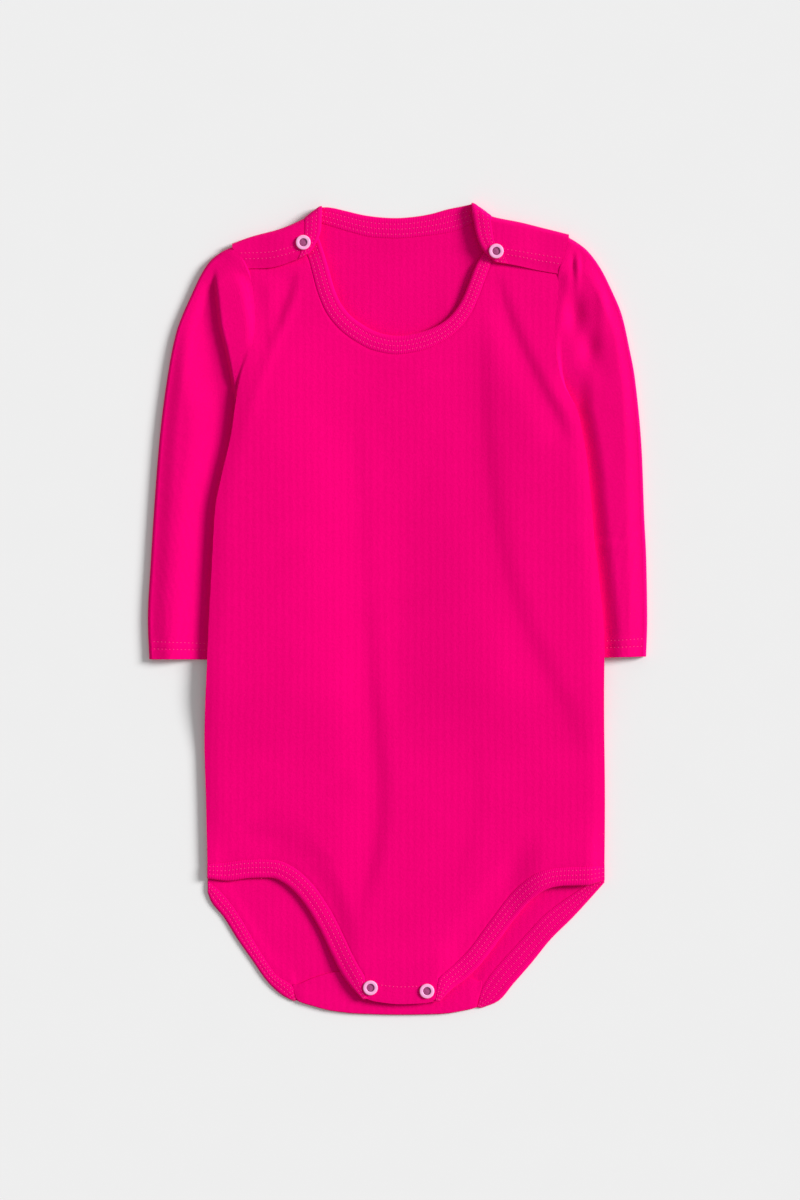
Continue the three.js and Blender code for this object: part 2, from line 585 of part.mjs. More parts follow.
function neckBandBack() {
  const leftFree = through(FLAP_LEFT_FREE, 'y', 'x');
  const rightFree = through(FLAP_RIGHT_FREE, 'y', 'x');
  const seams = [];
  const frees = [];
  const flapSide = (rows, column, freeEdge, reach) => {
    const seamRows = rows.map((row) => row[column]);
    const first = seamRows[0];
    const lowest = seamRows[seamRows.length - 1];
    const tip = reach.y + Math.max(...seamRows.slice(0, FOLD_STEPS + 1).map((point) => point.y));
    return seamRows.map((point, k) => {
      const gap = new THREE.Vector3(Math.sign(-point.x) * SEAM_GAP, 0, 0);
      const seam = point.clone().add(gap);
      if (k <= FOLD_STEPS) {
        const free = point.clone().add(reach);
        free.y = mix(free.y, tip, TIP_PULL * (1 - k / FOLD_STEPS));
        return { seam, free };
      }
      const t = (point.y - lowest.y) / (first.y - lowest.y);
      const y = mix(freeEdge.low, first.y + reach.y, t);
      return { seam, free: new THREE.Vector3(freeEdge.curve(y), y, point.z) };
    });
  };
  const left = flapSide(
    flapLeft, BACK_NECK_LEFT, { curve: leftFree, low: FLAP_LEFT_FREE[0].y }, LEFT_FOLD_REACH,
  );
  const right = flapSide(
    flapRight, 0, { curve: rightFree, low: FLAP_RIGHT_FREE[0].y }, RIGHT_FOLD_REACH,
  );
  for (const station of left.reverse()) {
    seams.push(station.seam);
    frees.push(station.free);
  }
  for (let j = BACK_NECK_LEFT + 1; j < BACK_NECK_RIGHT; j += 1) {
    const point = topRow[j];
    const seam = new THREE.Vector3(point.x, point.y + SEAM_GAP, point.z);
    const x = point.x * NECK_BACK_NARROWING;
    seams.push(seam);
    frees.push(new THREE.Vector3(x, backNeckline(x), BAND_HALF));
  }
  for (const station of right) {
    seams.push(station.seam);
    frees.push(station.free);
  }
  return bandWall(seams, frees, null);
}
add('neck_binding_back', neckBandBack(), DEEP_PINK);

// Neck band of the front, from under one flap round to under the other
const frontNeckWidth = through(
  [{ x: -50, width: 8.6 }, { x: 0, width: 9.6 }, { x: 36, width: 7.6 }, { x: 50, width: 6.6 }],
  'x', 'width',
);
const frontNeckEdge = frontGrid[FRONT_STEPS].slice(FRONT_NECK_FIRST, FRONT_NECK_LAST).reverse();
add(
  'neck_binding_front',
  edgeBand(frontNeckEdge, (point) => frontNeckWidth(point.x), frontHeight),
  DEEP_PINK,
);

// Leg bands: from the side seam, where they start square to it, to the crotch end,
// where they narrow. Each has its width at every line of the panel's cloth.
const SQUARE_TO_SIDE = new THREE.Vector3(0, -1, 0);
const frontFoot = frontGrid[0];
const backFoot = backGrid[0];
const LEG_BANDS = [
  {
    name: 'leg_binding_front_left', height: frontHeight, square: 'first',
    edge: frontFoot.slice(0, FRONT_LEG_LEFT_LAST + 1),
    widths: [7.6, 9.6, 9.6, 9.6, 9.6, 9.6, 9.6, 9.6, 9.6, 9.6, 9.6, 9.6, 2.2],
  },
  {
    name: 'leg_binding_front_right', height: frontHeight, square: 'last',
    edge: frontFoot.slice(FRONT_LEG_RIGHT_FIRST),
    widths: [2.2, 9.6, 9.6, 9.6, 9.6, 9.6, 9.6, 9.6, 9.6, 9.6, 9.6, 7.6],
  },
  {
    name: 'leg_binding_back_left', height: backHeight, square: 'first',
    edge: backFoot.slice(0, BACK_LEG_LEFT_LAST + 1),
    widths: [6, 7, 7, 7, 5.8, 5.8, 7, 1.6],
  },
  {
    name: 'leg_binding_back_right', height: backHeight, square: 'last',
    edge: backFoot.slice(BACK_LEG_RIGHT_FIRST),
    widths: [2.2, 10.4, 12.2, 12, 11.1, 10.2, 6.3],
  },
];
for (const band of LEG_BANDS) {
  const width = (point, k) => band.widths[k];
  add(
    band.name,
    edgeBand(band.edge, width, band.height, { [band.square]: SQUARE_TO_SIDE }),
    DEEP_PINK,
  );
}

// Facing on the inside of the back's crotch end
const FACING_TOP = [
  { x: -52, y: -194.8 }, { x: -41.6, y: -190.5 }, { x: -31, y: -188.2 }, { x: 0, y: -187.6 },
  { x: 30, y: -188.2 }, { x: 41, y: -193 },
];
const FACING_STEPS_ACROSS = 12;
const FACING_STEPS_UP = 3;
const FACING_LEFT = -51.8;
const FACING_RIGHT = 40.4;
const FACING_INSET = 0.7;

function facingGrid() {
  const upper = through(FACING_TOP, 'x', 'y');
  const grid = [];
  for (let i = 0; i <= FACING_STEPS_UP; i += 1) {
    const row = [];
    for (let j = 0; j <= FACING_STEPS_ACROSS; j += 1) {
      const x = mix(FACING_LEFT, FACING_RIGHT, j / FACING_STEPS_ACROSS);
      const y = mix(backBottom(x) + FACING_INSET, upper(x), i / FACING_STEPS_UP);
      row.push(new THREE.Vector3(x, y, backHeight(x, y) + FACING_STEP));
    }
    grid.push(row);
  }
  return grid;
}
add('crotch_facing', wall([facingGrid()], HALF_CLOTH), PINK);

// Sleeves: flat tubes, open at the armhole and at the cuff
const ARM_LEVEL = 3.7;
const RIGHT_ARM_LEVEL = 4.1;
const OUTER_LEVEL = 4.2;
const CAP_LEVEL = 4.3;
const CUFF_LEVEL = 2.9;
const CAP_LENGTH = 0.25;
const BOW_POWER = 1.6;
const OUTER_SLOPE = 9;
const INNER_SLOPE = 5;
const ARM_RISE = { left: 20, low: 1, high: 22 };
const CAP_START = 164;
const CAP_FULL = 184;
const TORSO_MARGIN = 0.5;
const SHOULDER_TRIM = 2.6;
const UNDERARM_TRIM = 1.2;
const RIGHT_EXTRA_GAP = 0.2;
const DIMPLE = { x: 99.2, y: 152.6, across: 5.5, along: 15, depth: 1.5 };
const DIMPLE_TAIL = { x: 107.5, y: 132, across: 6, along: 12, depth: 0.9 };

function hollow(spot, x, y) {
  const across = (x - spot.x) / spot.across;
  const along = (y - spot.y) / spot.along;
  return spot.depth * Math.exp(-across * across - along * along);
}

function sleeveTopLeft(x, y) {
  const line = y > UNDERARM_LEFT ? leftGutterAbove(y) : leftEdge(y) - TORSO_MARGIN;
  const outward = line - x;
  const inner = mix(TUCKED_TOP, ARM_LEVEL, ease(UNDERARM_LEFT, UNDERARM_LEFT + ARM_RISE.left, y));
  const z = outward > 0
    ? mix(TUCKED_TOP, OUTER_LEVEL, ease(0, OUTER_SLOPE, outward))
    : mix(TUCKED_TOP, inner, ease(0, INNER_SLOPE, -outward));
  return mix(z, CAP_LEVEL, ease(CAP_START, CAP_FULL, y));
}

function sleeveTopRight(x, y) {
  const outward = x - (rightEdge(Math.min(y, UNDERARM_RIGHT)) + TORSO_MARGIN);
  const slope = ease(0, OUTER_SLOPE, outward);
  const z = outward > 0 ? mix(TUCKED_TOP, OUTER_LEVEL, slope) : TUCKED_TOP;
  const rise = ease(UNDERARM_RIGHT + ARM_RISE.low, UNDERARM_RIGHT + ARM_RISE.high, y);
  const above = mix(z, RIGHT_ARM_LEVEL, rise);
  return above - hollow(DIMPLE, x, y) - hollow(DIMPLE_TAIL, x, y);
}

function sleeveRing(along, shape) {
  const outerShare = through(SLEEVE_SECTIONS, 'along', 'outer')(along);
  const innerShare = through(SLEEVE_SECTIONS, 'along', 'inner')(along);
  const outerY = mix(CUFF_END + shape.cuffDrop, shape.shoulder, outerShare);
  const innerY = mix(CUFF_END, shape.underarm, innerShare);
  const outer = new THREE.Vector3(shape.outer(outerY), outerY, 0);
  const inner = new THREE.Vector3(shape.inner(innerY), innerY, 0);
  const inward = new THREE.Vector3().subVectors(inner, outer).normalize();
  const outerTop = mix(CUFF_LEVEL, CAP_LEVEL, (1 - clamp01(along / CAP_LENGTH)) ** 2);
  const outerRadius = (outerTop - LOWEST) / 2;
  const innerRadius = (TUCKED_TOP - LOWEST) / 2;
  outer.addScaledVector(inward, outerRadius + HALF_CLOTH);
  inner.addScaledVector(inward, -(innerRadius + HALF_CLOTH));
  const bowShare = clamp01(1 - along / SLEEVE_BOW_LENGTH) ** BOW_POWER;
  const length = outer.distanceTo(inner);
  const high = shape.shoulder - SHOULDER_TRIM;
  const low = shape.underarm + UNDERARM_TRIM;
  const at = (s) => {
    const point = new THREE.Vector3().lerpVectors(outer, inner, s);
    const armhole = shape.armhole(mix(high, low, s));
    const chord = mix(shape.armhole(high), shape.armhole(low), s);
    point.x += (armhole - chord) * bowShare;
    return point;
  };
  const ring = [];
  for (let i = 0; i < SLEEVE_TOP_POINTS; i += 1) {
    const s = i / (SLEEVE_TOP_POINTS - 1);
    const point = at(s);
    const open = mix(outerTop, shape.top(point.x, point.y), ease(0, OUTER_SLOPE, s * length));
    point.z = mix(open, TUCKED_TOP, 1 - ease(0, INNER_SLOPE, (1 - s) * length));
    ring.push(point);
  }
  const innerEnd = at(1);
  ring.push(new THREE.Vector3(
    innerEnd.x + inward.x * innerRadius, innerEnd.y + inward.y * innerRadius, LOWEST + innerRadius,
  ));
  for (let i = SLEEVE_UNDER_POINTS - 1; i >= 0; i -= 1) {
    const point = at(i / (SLEEVE_UNDER_POINTS - 1));
    point.z = LOWEST;
    ring.push(point);
  }
  const outerEnd = at(0);
  for (const angle of [45, 90, 135]) {
    const turn = THREE.MathUtils.degToRad(angle);
    const reach = outerRadius * Math.sin(turn);
    ring.push(new THREE.Vector3(
      outerEnd.x - inward.x * reach,
      outerEnd.y - inward.y * reach,
      LOWEST + outerRadius * (1 - Math.cos(turn)),
    ));
  }
  return ring;
}

function sleeve(shape) {
  const rings = [];
  for (let k = 0; k <= SLEEVE_RINGS; k += 1) {
    rings.push(sleeveRing(k / SLEEVE_RINGS, shape));
  }
  return wall([rings], HALF_CLOTH, true);
}

add('sleeve_left', sleeve({
  outer: through(SLEEVE_LEFT_OUTER, 'y', 'x'),
  inner: leftInner,
  armhole: (y) => leftEdge(y) - ARMHOLE_GAP,
  top: sleeveTopLeft,
  shoulder: 188.8,
  underarm: 105,
  cuffDrop: 0.2,
}), PINK);
add('sleeve_right', sleeve({
  outer: through(SLEEVE_RIGHT_OUTER, 'y', 'x'),
  inner: rightInner,
  armhole: (y) => rightEdge(y) + ARMHOLE_GAP + RIGHT_EXTRA_GAP,
  top: sleeveTopRight,
  shoulder: 193.4,
  underarm: 103,
  cuffDrop: 1.6,
}), PINK);

// Snaps: an open ring on top and a plain post between the two layers
function ringGeometry() {
  const profile = [
    [RING_INNER, 0], [RING_OUTER, 0], [RING_OUTER, RING_SIDE_HEIGHT],
    [RING_CREST_OUTER, RING_HEIGHT], [RING_CREST_INNER, RING_HEIGHT],
    [RING_INNER, RING_SIDE_HEIGHT], [RING_INNER, 0],
  ].map(([radius, height]) => new THREE.Vector2(radius, height));
  const geometry = new THREE.LatheGeometry(profile, RING_SEGMENTS);
  geometry.rotateX(Math.PI / 2);
  return geometry;
}

function postGeometry() {
  const geometry = new THREE.CylinderGeometry(
    POST_RADIUS, POST_RADIUS, POST_HEIGHT, POST_SEGMENTS,
  );
  geometry.rotateX(Math.PI / 2);
  return geometry;
}

const SNAPS = [
  { name: 'shoulder_snap', side: 'left', x: -49.1, y: 190.2, ring: 6.4, post: 3.4 },
  { name: 'shoulder_snap', side: 'right', x: 50.9, y: 185.7, ring: 6.4, post: 3.4 },
  { name: 'crotch_snap', side: 'left', x: -14.3, y: -196.1, ring: 5.45, post: 2.65 },
  { name: 'crotch_snap', side: 'right', x: 15, y: -197.8, ring: 5.45, post: 2.65 },
];
for (const snap of SNAPS) {
  const ring = add(`${snap.name}_ring_${snap.side}`, ringGeometry(), SNAP_WHITE, 0.35);
  ring.position.set(snap.x, snap.y, snap.ring);
  const post = add(`${snap.name}_post_${snap.side}`, postGeometry(), SNAP_WHITE, 0.35);
  post.position.set(snap.x, snap.y, snap.post + POST_HEIGHT / 2);
}

// The origin is the middle of the garment's box, on the surface that it lies on
const box = new THREE.Box3().setFromObject(group);
group.position.set(-(box.min.x + box.max.x) / 2, -(box.min.y + box.max.y) / 2, -box.min.z);

export default group;
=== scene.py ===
"""Looks of a baby's long-sleeved bodysuit that lies flat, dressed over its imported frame.

Sizes are in millimetres, in the garment's own frame: X to the right, Y to the neck and Z up
from the surface it lies on. They turn into metres, and move to the frame's origin, when a
mesh is made. Each piece of cloth is a middle surface worked out from curves through short
tables, with a thin rounded wall round it.
"""

from __future__ import annotations

import json
import logging
import math
from dataclasses import dataclass, field, replace
from enum import Enum
from typing import Callable, NamedTuple, Sequence

import bmesh
import bpy
import numpy as np
from mathutils import Matrix, Vector

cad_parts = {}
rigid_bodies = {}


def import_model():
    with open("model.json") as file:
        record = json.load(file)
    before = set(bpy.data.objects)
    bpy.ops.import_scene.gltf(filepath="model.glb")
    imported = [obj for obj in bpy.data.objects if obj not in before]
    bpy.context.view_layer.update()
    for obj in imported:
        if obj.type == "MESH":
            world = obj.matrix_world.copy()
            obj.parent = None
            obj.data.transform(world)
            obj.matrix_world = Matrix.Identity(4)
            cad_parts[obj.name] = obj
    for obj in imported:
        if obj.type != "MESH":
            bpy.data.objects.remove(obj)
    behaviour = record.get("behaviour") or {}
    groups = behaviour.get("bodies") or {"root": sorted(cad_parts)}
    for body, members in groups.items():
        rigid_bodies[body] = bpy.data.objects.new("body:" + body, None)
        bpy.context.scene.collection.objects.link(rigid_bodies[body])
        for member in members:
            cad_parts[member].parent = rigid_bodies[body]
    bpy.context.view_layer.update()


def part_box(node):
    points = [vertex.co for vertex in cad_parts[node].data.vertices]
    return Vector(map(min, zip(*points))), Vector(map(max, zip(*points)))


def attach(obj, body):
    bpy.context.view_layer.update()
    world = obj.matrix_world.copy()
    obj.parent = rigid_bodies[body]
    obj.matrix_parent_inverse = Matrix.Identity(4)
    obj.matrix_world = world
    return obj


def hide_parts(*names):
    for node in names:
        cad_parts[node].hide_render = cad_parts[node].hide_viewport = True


LOG = logging.getLogger("bodysuit")
MM = 0.001
UP = np.array([0.0, 0.0, 1.0])

# Bindings and sleeves lie this far into their panel, where the solids keep a gap
SEAM_GAP = -0.08
ARMHOLE_GAP = -0.08

# Cloth and heights, as in the solids
HALF_CLOTH = 0.5
RING_LOW = 6.4
BAND_HALF = 0.8
LOWEST = HALF_CLOTH
SIDE_RISE = 0.4
SIDE_SPACE = 1.9
SIDE_ROUND = 9.0
FRONT_RISE = 3.1
BOUND_RISE = BAND_HALF - HALF_CLOTH
SHOULDER_FRONT = 2.3
FLAP_NECK = 5.3
FLAP_ARM = 4.5
CROTCH_EXTRA = 0.7
UNDERARM_LEFT = 106.0
UNDERARM_RIGHT = 104.0
CUFF_END = -26.0

# Where one height passes smoothly into the next, from a first to a second place
SIDE_SEAM_TOP = (UNDERARM_LEFT + 4, UNDERARM_LEFT + 26)
NECK_BOUND_UP = (184, 194)
NECK_BOUND_ACROSS = (52, 62)
LEG_BOUND = (2, 12)
CROTCH_END_UP = (-186, -168)
CROTCH_END_ACROSS = (45, 70)
UNDER_FLAP_UP = (160, 180)
UNDER_FLAP_ACROSS = (34, 46)
FLAP_SLOPE = (58, 76)

# The torso over the sleeves that are tucked under it
TUCKED_TOP = 1.9
TUCK_LIFT = 2.75
TUCK_NEAR = 8
TUCK_ABOVE = 4
TUCK_CUFF = (CUFF_END - 52, CUFF_END - 12)
BACK_REACH = 26
BACK_FADE = 34
FRONT_REACH = 74
FRONT_FADE = 52

# Small relief that only the looks have
SEAM_DIP = 0.04
ARMHOLE_REACH = 1.4
PAST_REACH = 30
GROOVE_DEPTH = 0.12
GROOVE_WIDTH = 1.2
FOLD_SHARE = 0.85
FOLDS_END_UP = (168, 180)
FOLDS_END_ACROSS = (30, 44)
FLAP_TUCK = 0.9
FLAP_TUCK_END = (178, 186)
FLAP_DROOP = 0.7
FLAP_DROOP_UP = (0, 7)
FLAP_DROOP_ACROSS = (48, 60)
LEG_DROOP = 1.1
LEG_DROOP_UP = (2, 28)
LEG_DROOP_ACROSS = (18, 34)
RIGHT_LEG_LIFT = 1.9
RIGHT_LEG = (56, 76)

# Points of a line that is sewn along
LINE_POINTS = 30

# Photograph: 800 by 1200 pixels, seen from straight above
PHOTO_WIDTH = 800
PHOTO_HEIGHT = 1200
MM_PER_PIXEL = 0.52
PIXEL_AT_ORIGIN = (398.0, 609.5)

# Outlines that run up the garment, each place as its Y and its X
LEFT_EDGE = (
    (-138.6, -98.8), (-99, -99.6), (-70, -100.4), (-24, -98.8), (31.5, -96), (53, -94.6), (71, -91),
    (91, -86.4), (106, -84.3), (121, -81.4), (136, -75.8), (149, -73.7), (165, -74.9), (174, -77.5),
    (182, -81), (188.5, -87),
)
RIGHT_EDGE = (
    (-138.6, 107.1), (-99, 107.4), (-42, 106.8), (-19, 107), (19, 103.8), (37, 101.7), (55, 100.2),
    (75, 98.2), (91, 95.7), (104, 92.7), (108.3, 90.1), (116.4, 85.6), (125.4, 82.9), (137, 81.6),
    (154, 82), (165, 83.1), (174, 83.4), (181, 85.2), (187, 87), (194, 89.2),
)
LEFT_GUTTER = (
    (106, -84.8), (120, -86.8), (134.4, -89.7), (148, -93.1), (161.5, -94.6), (172.4, -95.7),
    (190, -96),
)
FLAP_LEFT_SEAM = (
    (180, -52.6), (186, -50.4), (191.3, -48.9), (200.6, -48.4),
)
FLAP_RIGHT_SEAM = (
    (178.5, 57.4), (183.2, 55.6), (187, 52.6), (191.5, 49.8), (201, 48.4),
)
FLAP_LEFT_FREE = (
    (184.6, -46), (188.5, -43.3), (197.3, -40), (206, -39.6),
)
FLAP_RIGHT_FREE = (
    (180.2, 50.2), (184.9, 45.1), (190.3, 41.9), (197.5, 40), (207, 38.4),
)
SLEEVE_LEFT_OUTER = (
    (-25.7, -129.2), (-5.5, -130), (25.7, -128.4), (56.9, -126.4), (89.2, -123.8), (118.3, -120.1),
    (143.3, -115.4), (164.1, -107.3), (179.7, -99.3), (185.4, -93), (188.8, -86),
)
SLEEVE_LEFT_INNER = (
    (-26, -66), (20, -68), (60, -72), (85, -78), (98, -82.6), (105, -85.6),
)
SLEEVE_RIGHT_OUTER = (
    (-24.4, 128.9), (-5.5, 129.5), (25.7, 129), (48.6, 127.9), (82.2, 126.6), (120, 123),
    (137, 119.9), (153.3, 116.3), (166.9, 110.8), (177.6, 105.6), (186.7, 99), (191, 93.6),
    (194, 88.6),
)
SLEEVE_RIGHT_INNER = (
    (-26, 65), (20, 70), (60, 79), (85, 86.5), (97, 91.4), (103, 94),
)

# Outlines that run across it, each place as its X and its Y
SHOULDER_LINE = (
    (-87.4, 189), (-74.9, 193.9), (-61.4, 197.5), (-47.8, 203.4), (-39.6, 209), (38.3, 210.6),
    (43.2, 206.5), (49.6, 203.8), (63.1, 201.1), (77.5, 197.5), (89.2, 194.4),
)
BACK_NECKLINE = (
    (-39, 209.4), (-24.4, 206.4), (-14, 204.1), (-1, 203.3), (12, 204.4), (27.3, 208.2),
    (38.3, 210.4),
)
BACK_NECK_SEAM = (
    (-38.5, 200.3), (-24.4, 196), (-13, 193.4), (-1, 192.9), (12, 193.9), (28.6, 196.4),
    (38.5, 200.6),
)
FRONT_TOP = (
    (-84, 182.6), (-75, 187.3), (-61, 191.2), (-52, 195.4), (-50.4, 194.8), (-49, 187.6),
    (-46.4, 181.6), (-44.1, 173), (-41.1, 162.6), (-36.4, 152.6), (-30, 145), (-22.2, 139.2),
    (-13.2, 134.6), (-1.2, 132.4), (12.1, 134.4), (22.2, 138.6), (30.9, 144.8), (38.2, 154.4),
    (43.8, 167.8), (47.7, 178), (51.5, 184.2), (54.3, 192), (56, 195.2), (65, 194), (77.5, 190.6),
    (87.6, 187.4),
)
FRONT_BOTTOM = (
    (-98.6, -131.9), (-92, -131.6), (-82.2, -130.2), (-71.4, -129.6), (-62.9, -130),
    (-55.8, -132.8), (-48.7, -138), (-43, -144.2), (-38.1, -151.1), (-33.1, -159.6),
    (-28.8, -168.2), (-23.8, -178.8), (-19.2, -187.2), (-17.3, -190.6), (-16.1, -201.9),
    (-9, -203.7), (1, -204.7), (11.7, -204.3), (19.3, -203), (20.6, -192), (24.7, -187.9),
    (30, -183.3), (36.9, -176.3), (43.7, -167.2), (49.9, -158.8), (57.5, -148.8), (64.3, -142),
    (72, -136.8), (81.1, -134), (92.6, -133.4), (107, -132.9),
)
BACK_BOTTOM = (
    (-98.7, -141), (-91.4, -147.3), (-85, -155.4), (-79.8, -163.5), (-75, -172), (-69.5, -181),
    (-63, -190), (-54.4, -196.2), (-52.8, -203), (-45.2, -205.8), (-34.3, -208.6), (-20.3, -210.1),
    (1, -210.6), (22.4, -210.2), (35.4, -208.2), (41, -206.6), (42.6, -199), (46.8, -191.4),
    (52.9, -183.8), (60.5, -175.4), (68.1, -167.1), (75.8, -158.9), (84.2, -152.2), (95, -144.9),
    (107, -135.6),
)
FLAP_LEFT_LOW = (
    (-79, 176.8), (-65.9, 177.2), (-57.7, 179), (-51, 181.6),
)
FLAP_RIGHT_LOW = (
    (57.5, 179.2), (63.1, 178.1), (73.8, 175.9), (85, 174.1),
)

# Lines of each panel's cloth, by the X of their upper and of their lower end
FRONT_LINES = (
    (-84, -98.6), (-77, -89), (-70, -79), (-62.5, -70), (-55, -62), (-51, -54), (-49.6, -46),
    (-47.2, -39), (-44.6, -32), (-42, -25.5), (-37.6, -20.3), (-31.5, -17.3), (-23, -16.1),
    (-12.5, -9), (-1, 1), (11.5, 10.5), (23, 19.3), (32, 20.6), (39, 26.5), (43.6, 34), (47.2, 43),
    (50.8, 53), (53.6, 63), (55.8, 73), (62.5, 82.5), (70.5, 91), (79, 99), (87.6, 107),
)
BACK_LINES = (
    (-85, -98.7), (-77, -92), (-68, -85), (-58.5, -78), (-48.4, -70.5), (-38.5, -63),
    (-28.5, -54.4), (-19.5, -52.8), (-10.5, -40), (-1, -20), (9, 1), (18, 22), (27.5, 41),
    (37.5, 42.6), (48.4, 50), (58, 60.5), (68, 71.5), (78, 84), (88, 107),
)

# Sections of a sleeve: the share of its length, and how far its ends are up either edge
SLEEVE_SECTIONS = (
    (0, 1, 1), (0.06, 0.977, 0.993), (0.12, 0.95, 0.98), (0.2, 0.905, 0.955), (0.3, 0.835, 0.915),
    (0.42, 0.72, 0.83), (0.55, 0.565, 0.69), (0.7, 0.375, 0.47), (0.85, 0.19, 0.24), (1, 0, 0),
)

Pairs = Sequence[tuple[float, float]]
Curve = Callable[[np.ndarray], np.ndarray]
Surface = Callable[[np.ndarray, np.ndarray], np.ndarray]


class Through:
    """A smooth curve through pairs of numbers that never swings past them, flat outside them."""

    def __init__(self, pairs: Pairs) -> None:
        """Works out the slope at each pair.

        Args:
            pairs: where to look, and the value there.
        """
        self.u, self.v = np.array(sorted(pairs), float).T
        secant = np.diff(self.v) / np.diff(self.u)
        product = secant[:-1] * secant[1:]
        total = np.where(product > 0, secant[:-1] + secant[1:], 1.0)
        middle = np.where(product > 0, 2 * product / total, 0.0)
        self.slope = np.concatenate([secant[:1], middle, secant[-1:]])

    def __call__(self, value: np.ndarray | float) -> np.ndarray:
        """The curve at each value.

        Args:
            value: where to look, one number or an array.

        Returns:
            The curve's values there.
        """
        x = np.clip(np.asarray(value, float), self.u[0], self.u[-1])
        k = np.clip(np.searchsorted(self.u, x, side="right") - 1, 0, len(self.u) - 2)
        step = self.u[k + 1] - self.u[k]
        t = (x - self.u[k]) / step
        ends = self.v[k] * (1 + 2 * t) * (1 - t) ** 2 + self.v[k + 1] * t * t * (3 - 2 * t)
        return ends + step * t * (1 - t) * (self.slope[k] * (1 - t) - self.slope[k + 1] * t)


def ease(a: float, b: float, value: np.ndarray) -> np.ndarray:
    """0 before a, 1 after b and smooth between; a may be larger than b."""
    t = np.clip((value - a) / (b - a), 0, 1)
    return t * t * (3 - 2 * t)


def mix(a: np.ndarray, b: np.ndarray, t: np.ndarray) -> np.ndarray:
    """a where t is 0 and b where t is 1."""
    return a + (b - a) * t


def bell(value: np.ndarray, width: float) -> np.ndarray:
    """1 where value is 0, fading to nothing about twice the width away."""
    return np.exp(-((value / width) ** 2))


def smooth_rows(points: np.ndarray, between: int) -> np.ndarray:
    """A smooth path through points, with steps between each two of them.

    Args:
        points: the points in order, one a row.
        between: how many steps to take from one point to the next.

    Returns:
        The finer path, with the given points on it.
    """
    gap = np.maximum(np.linalg.norm(np.diff(points, axis=0), axis=1), 1e-6)[:, None]
    secant = np.diff(points, axis=0) / gap
    inner = (secant[:-1] * gap[1:] + secant[1:] * gap[:-1]) / (gap[:-1] + gap[1:])
    slope = np.concatenate([secant[:1], inner, secant[-1:]])
    rows = []
    for k in range(len(points) - 1):
        for t in np.arange(between) / between:
            ends = points[k] * (1 + 2 * t) * (1 - t) ** 2 + points[k + 1] * t * t * (3 - 2 * t)
            bend = gap[k] * t * (1 - t) * (slope[k] * (1 - t) - slope[k + 1] * t)
            rows.append(ends + bend)
    rows.append(points[-1])
    return np.array(rows)


def unit(vectors: np.ndarray) -> np.ndarray:
    """The same vectors, each one long."""
    return vectors / np.maximum(np.linalg.norm(vectors, axis=-1, keepdims=True), 1e-9)


left_edge = Through(LEFT_EDGE)
right_edge = Through(RIGHT_EDGE)
left_inner = Through(SLEEVE_LEFT_INNER)
right_inner = Through(SLEEVE_RIGHT_INNER)
left_gutter = Through(LEFT_GUTTER)
shoulder_line = Through(SHOULDER_LINE)
back_neckline = Through(BACK_NECKLINE)
back_neck_seam = Through(BACK_NECK_SEAM)
front_top = Through(FRONT_TOP)
front_bottom = Through(FRONT_BOTTOM)
back_bottom = Through(BACK_BOTTOM)
flap_left_low = Through(FLAP_LEFT_LOW)
flap_right_low = Through(FLAP_RIGHT_LOW)
sleeve_outer_share = Through([(along, outer) for along, outer, _ in SLEEVE_SECTIONS])
sleeve_inner_share = Through([(along, inner) for along, _, inner in SLEEVE_SECTIONS])


def tuck_lift(x: np.ndarray, y: np.ndarray, reach: float, fade: float) -> np.ndarray:
    """How far the torso is raised by the sleeves that are tucked under it.

    Args:
        x: X of the places.
        y: Y of the places.
        reach: how far in from a sleeve's inner edge the cloth comes down again.
        fade: how far above the underarms it comes down again.

    Returns:
        0 to 1 for each place.
    """
    from_left = 1 - ease(TUCK_NEAR, reach, x - left_inner(y))
    from_right = 1 - ease(TUCK_NEAR, reach, right_inner(y) - x)
    above = np.where(x < 0, UNDERARM_LEFT, UNDERARM_RIGHT) + TUCK_ABOVE
    along = (1 - ease(0, fade, y - above)) * ease(*TUCK_CUFF, y)
    return np.maximum(from_left, from_right) * along


def side_seam(y: np.ndarray) -> np.ndarray:
    """1 along the side seams, 0 at the armholes, where the cloth runs on into the sleeve."""
    return 1 - ease(*SIDE_SEAM_TOP, y)


def from_side(x: np.ndarray, y: np.ndarray) -> np.ndarray:
    """Distance in from the nearer side edge."""
    return np.maximum(0, np.minimum(x - left_edge(y), right_edge(y) - x))


def back_height(x: np.ndarray, y: np.ndarray) -> np.ndarray:
    """Middle surface of the back."""
    side = (1 - ease(0, SIDE_ROUND, from_side(x, y))) * side_seam(y)
    neck = ease(*NECK_BOUND_UP, y) * (1 - ease(*NECK_BOUND_ACROSS, np.abs(x)))
    leg = 1 - ease(*LEG_BOUND, y - back_bottom(x))
    bound = np.maximum(neck, leg)
    rise = TUCK_LIFT * tuck_lift(x, y, BACK_REACH, BACK_FADE) + SIDE_RISE * side
    return LOWEST + rise + BOUND_RISE * bound * (1 - side)


def front_height(x: np.ndarray, y: np.ndarray) -> np.ndarray:
    """Middle surface of the front without its small relief."""
    inside = np.sin(np.pi / 2 * np.clip(from_side(x, y) / SIDE_ROUND, 0, 1))
    seam = side_seam(y)
    rise = mix(FRONT_RISE, mix(SIDE_RISE + SIDE_SPACE, FRONT_RISE, inside), seam)
    crotch = CROTCH_EXTRA * (1 - ease(*CROTCH_END_UP, y)) * (1 - ease(*CROTCH_END_ACROSS, np.abs(x)))
    loose = LOWEST + TUCK_LIFT * tuck_lift(x, y, FRONT_REACH, FRONT_FADE) + rise + crotch
    under_flap = ease(*UNDER_FLAP_UP, y) * ease(*UNDER_FLAP_ACROSS, np.abs(x))
    return mix(loose, SHOULDER_FRONT, under_flap)


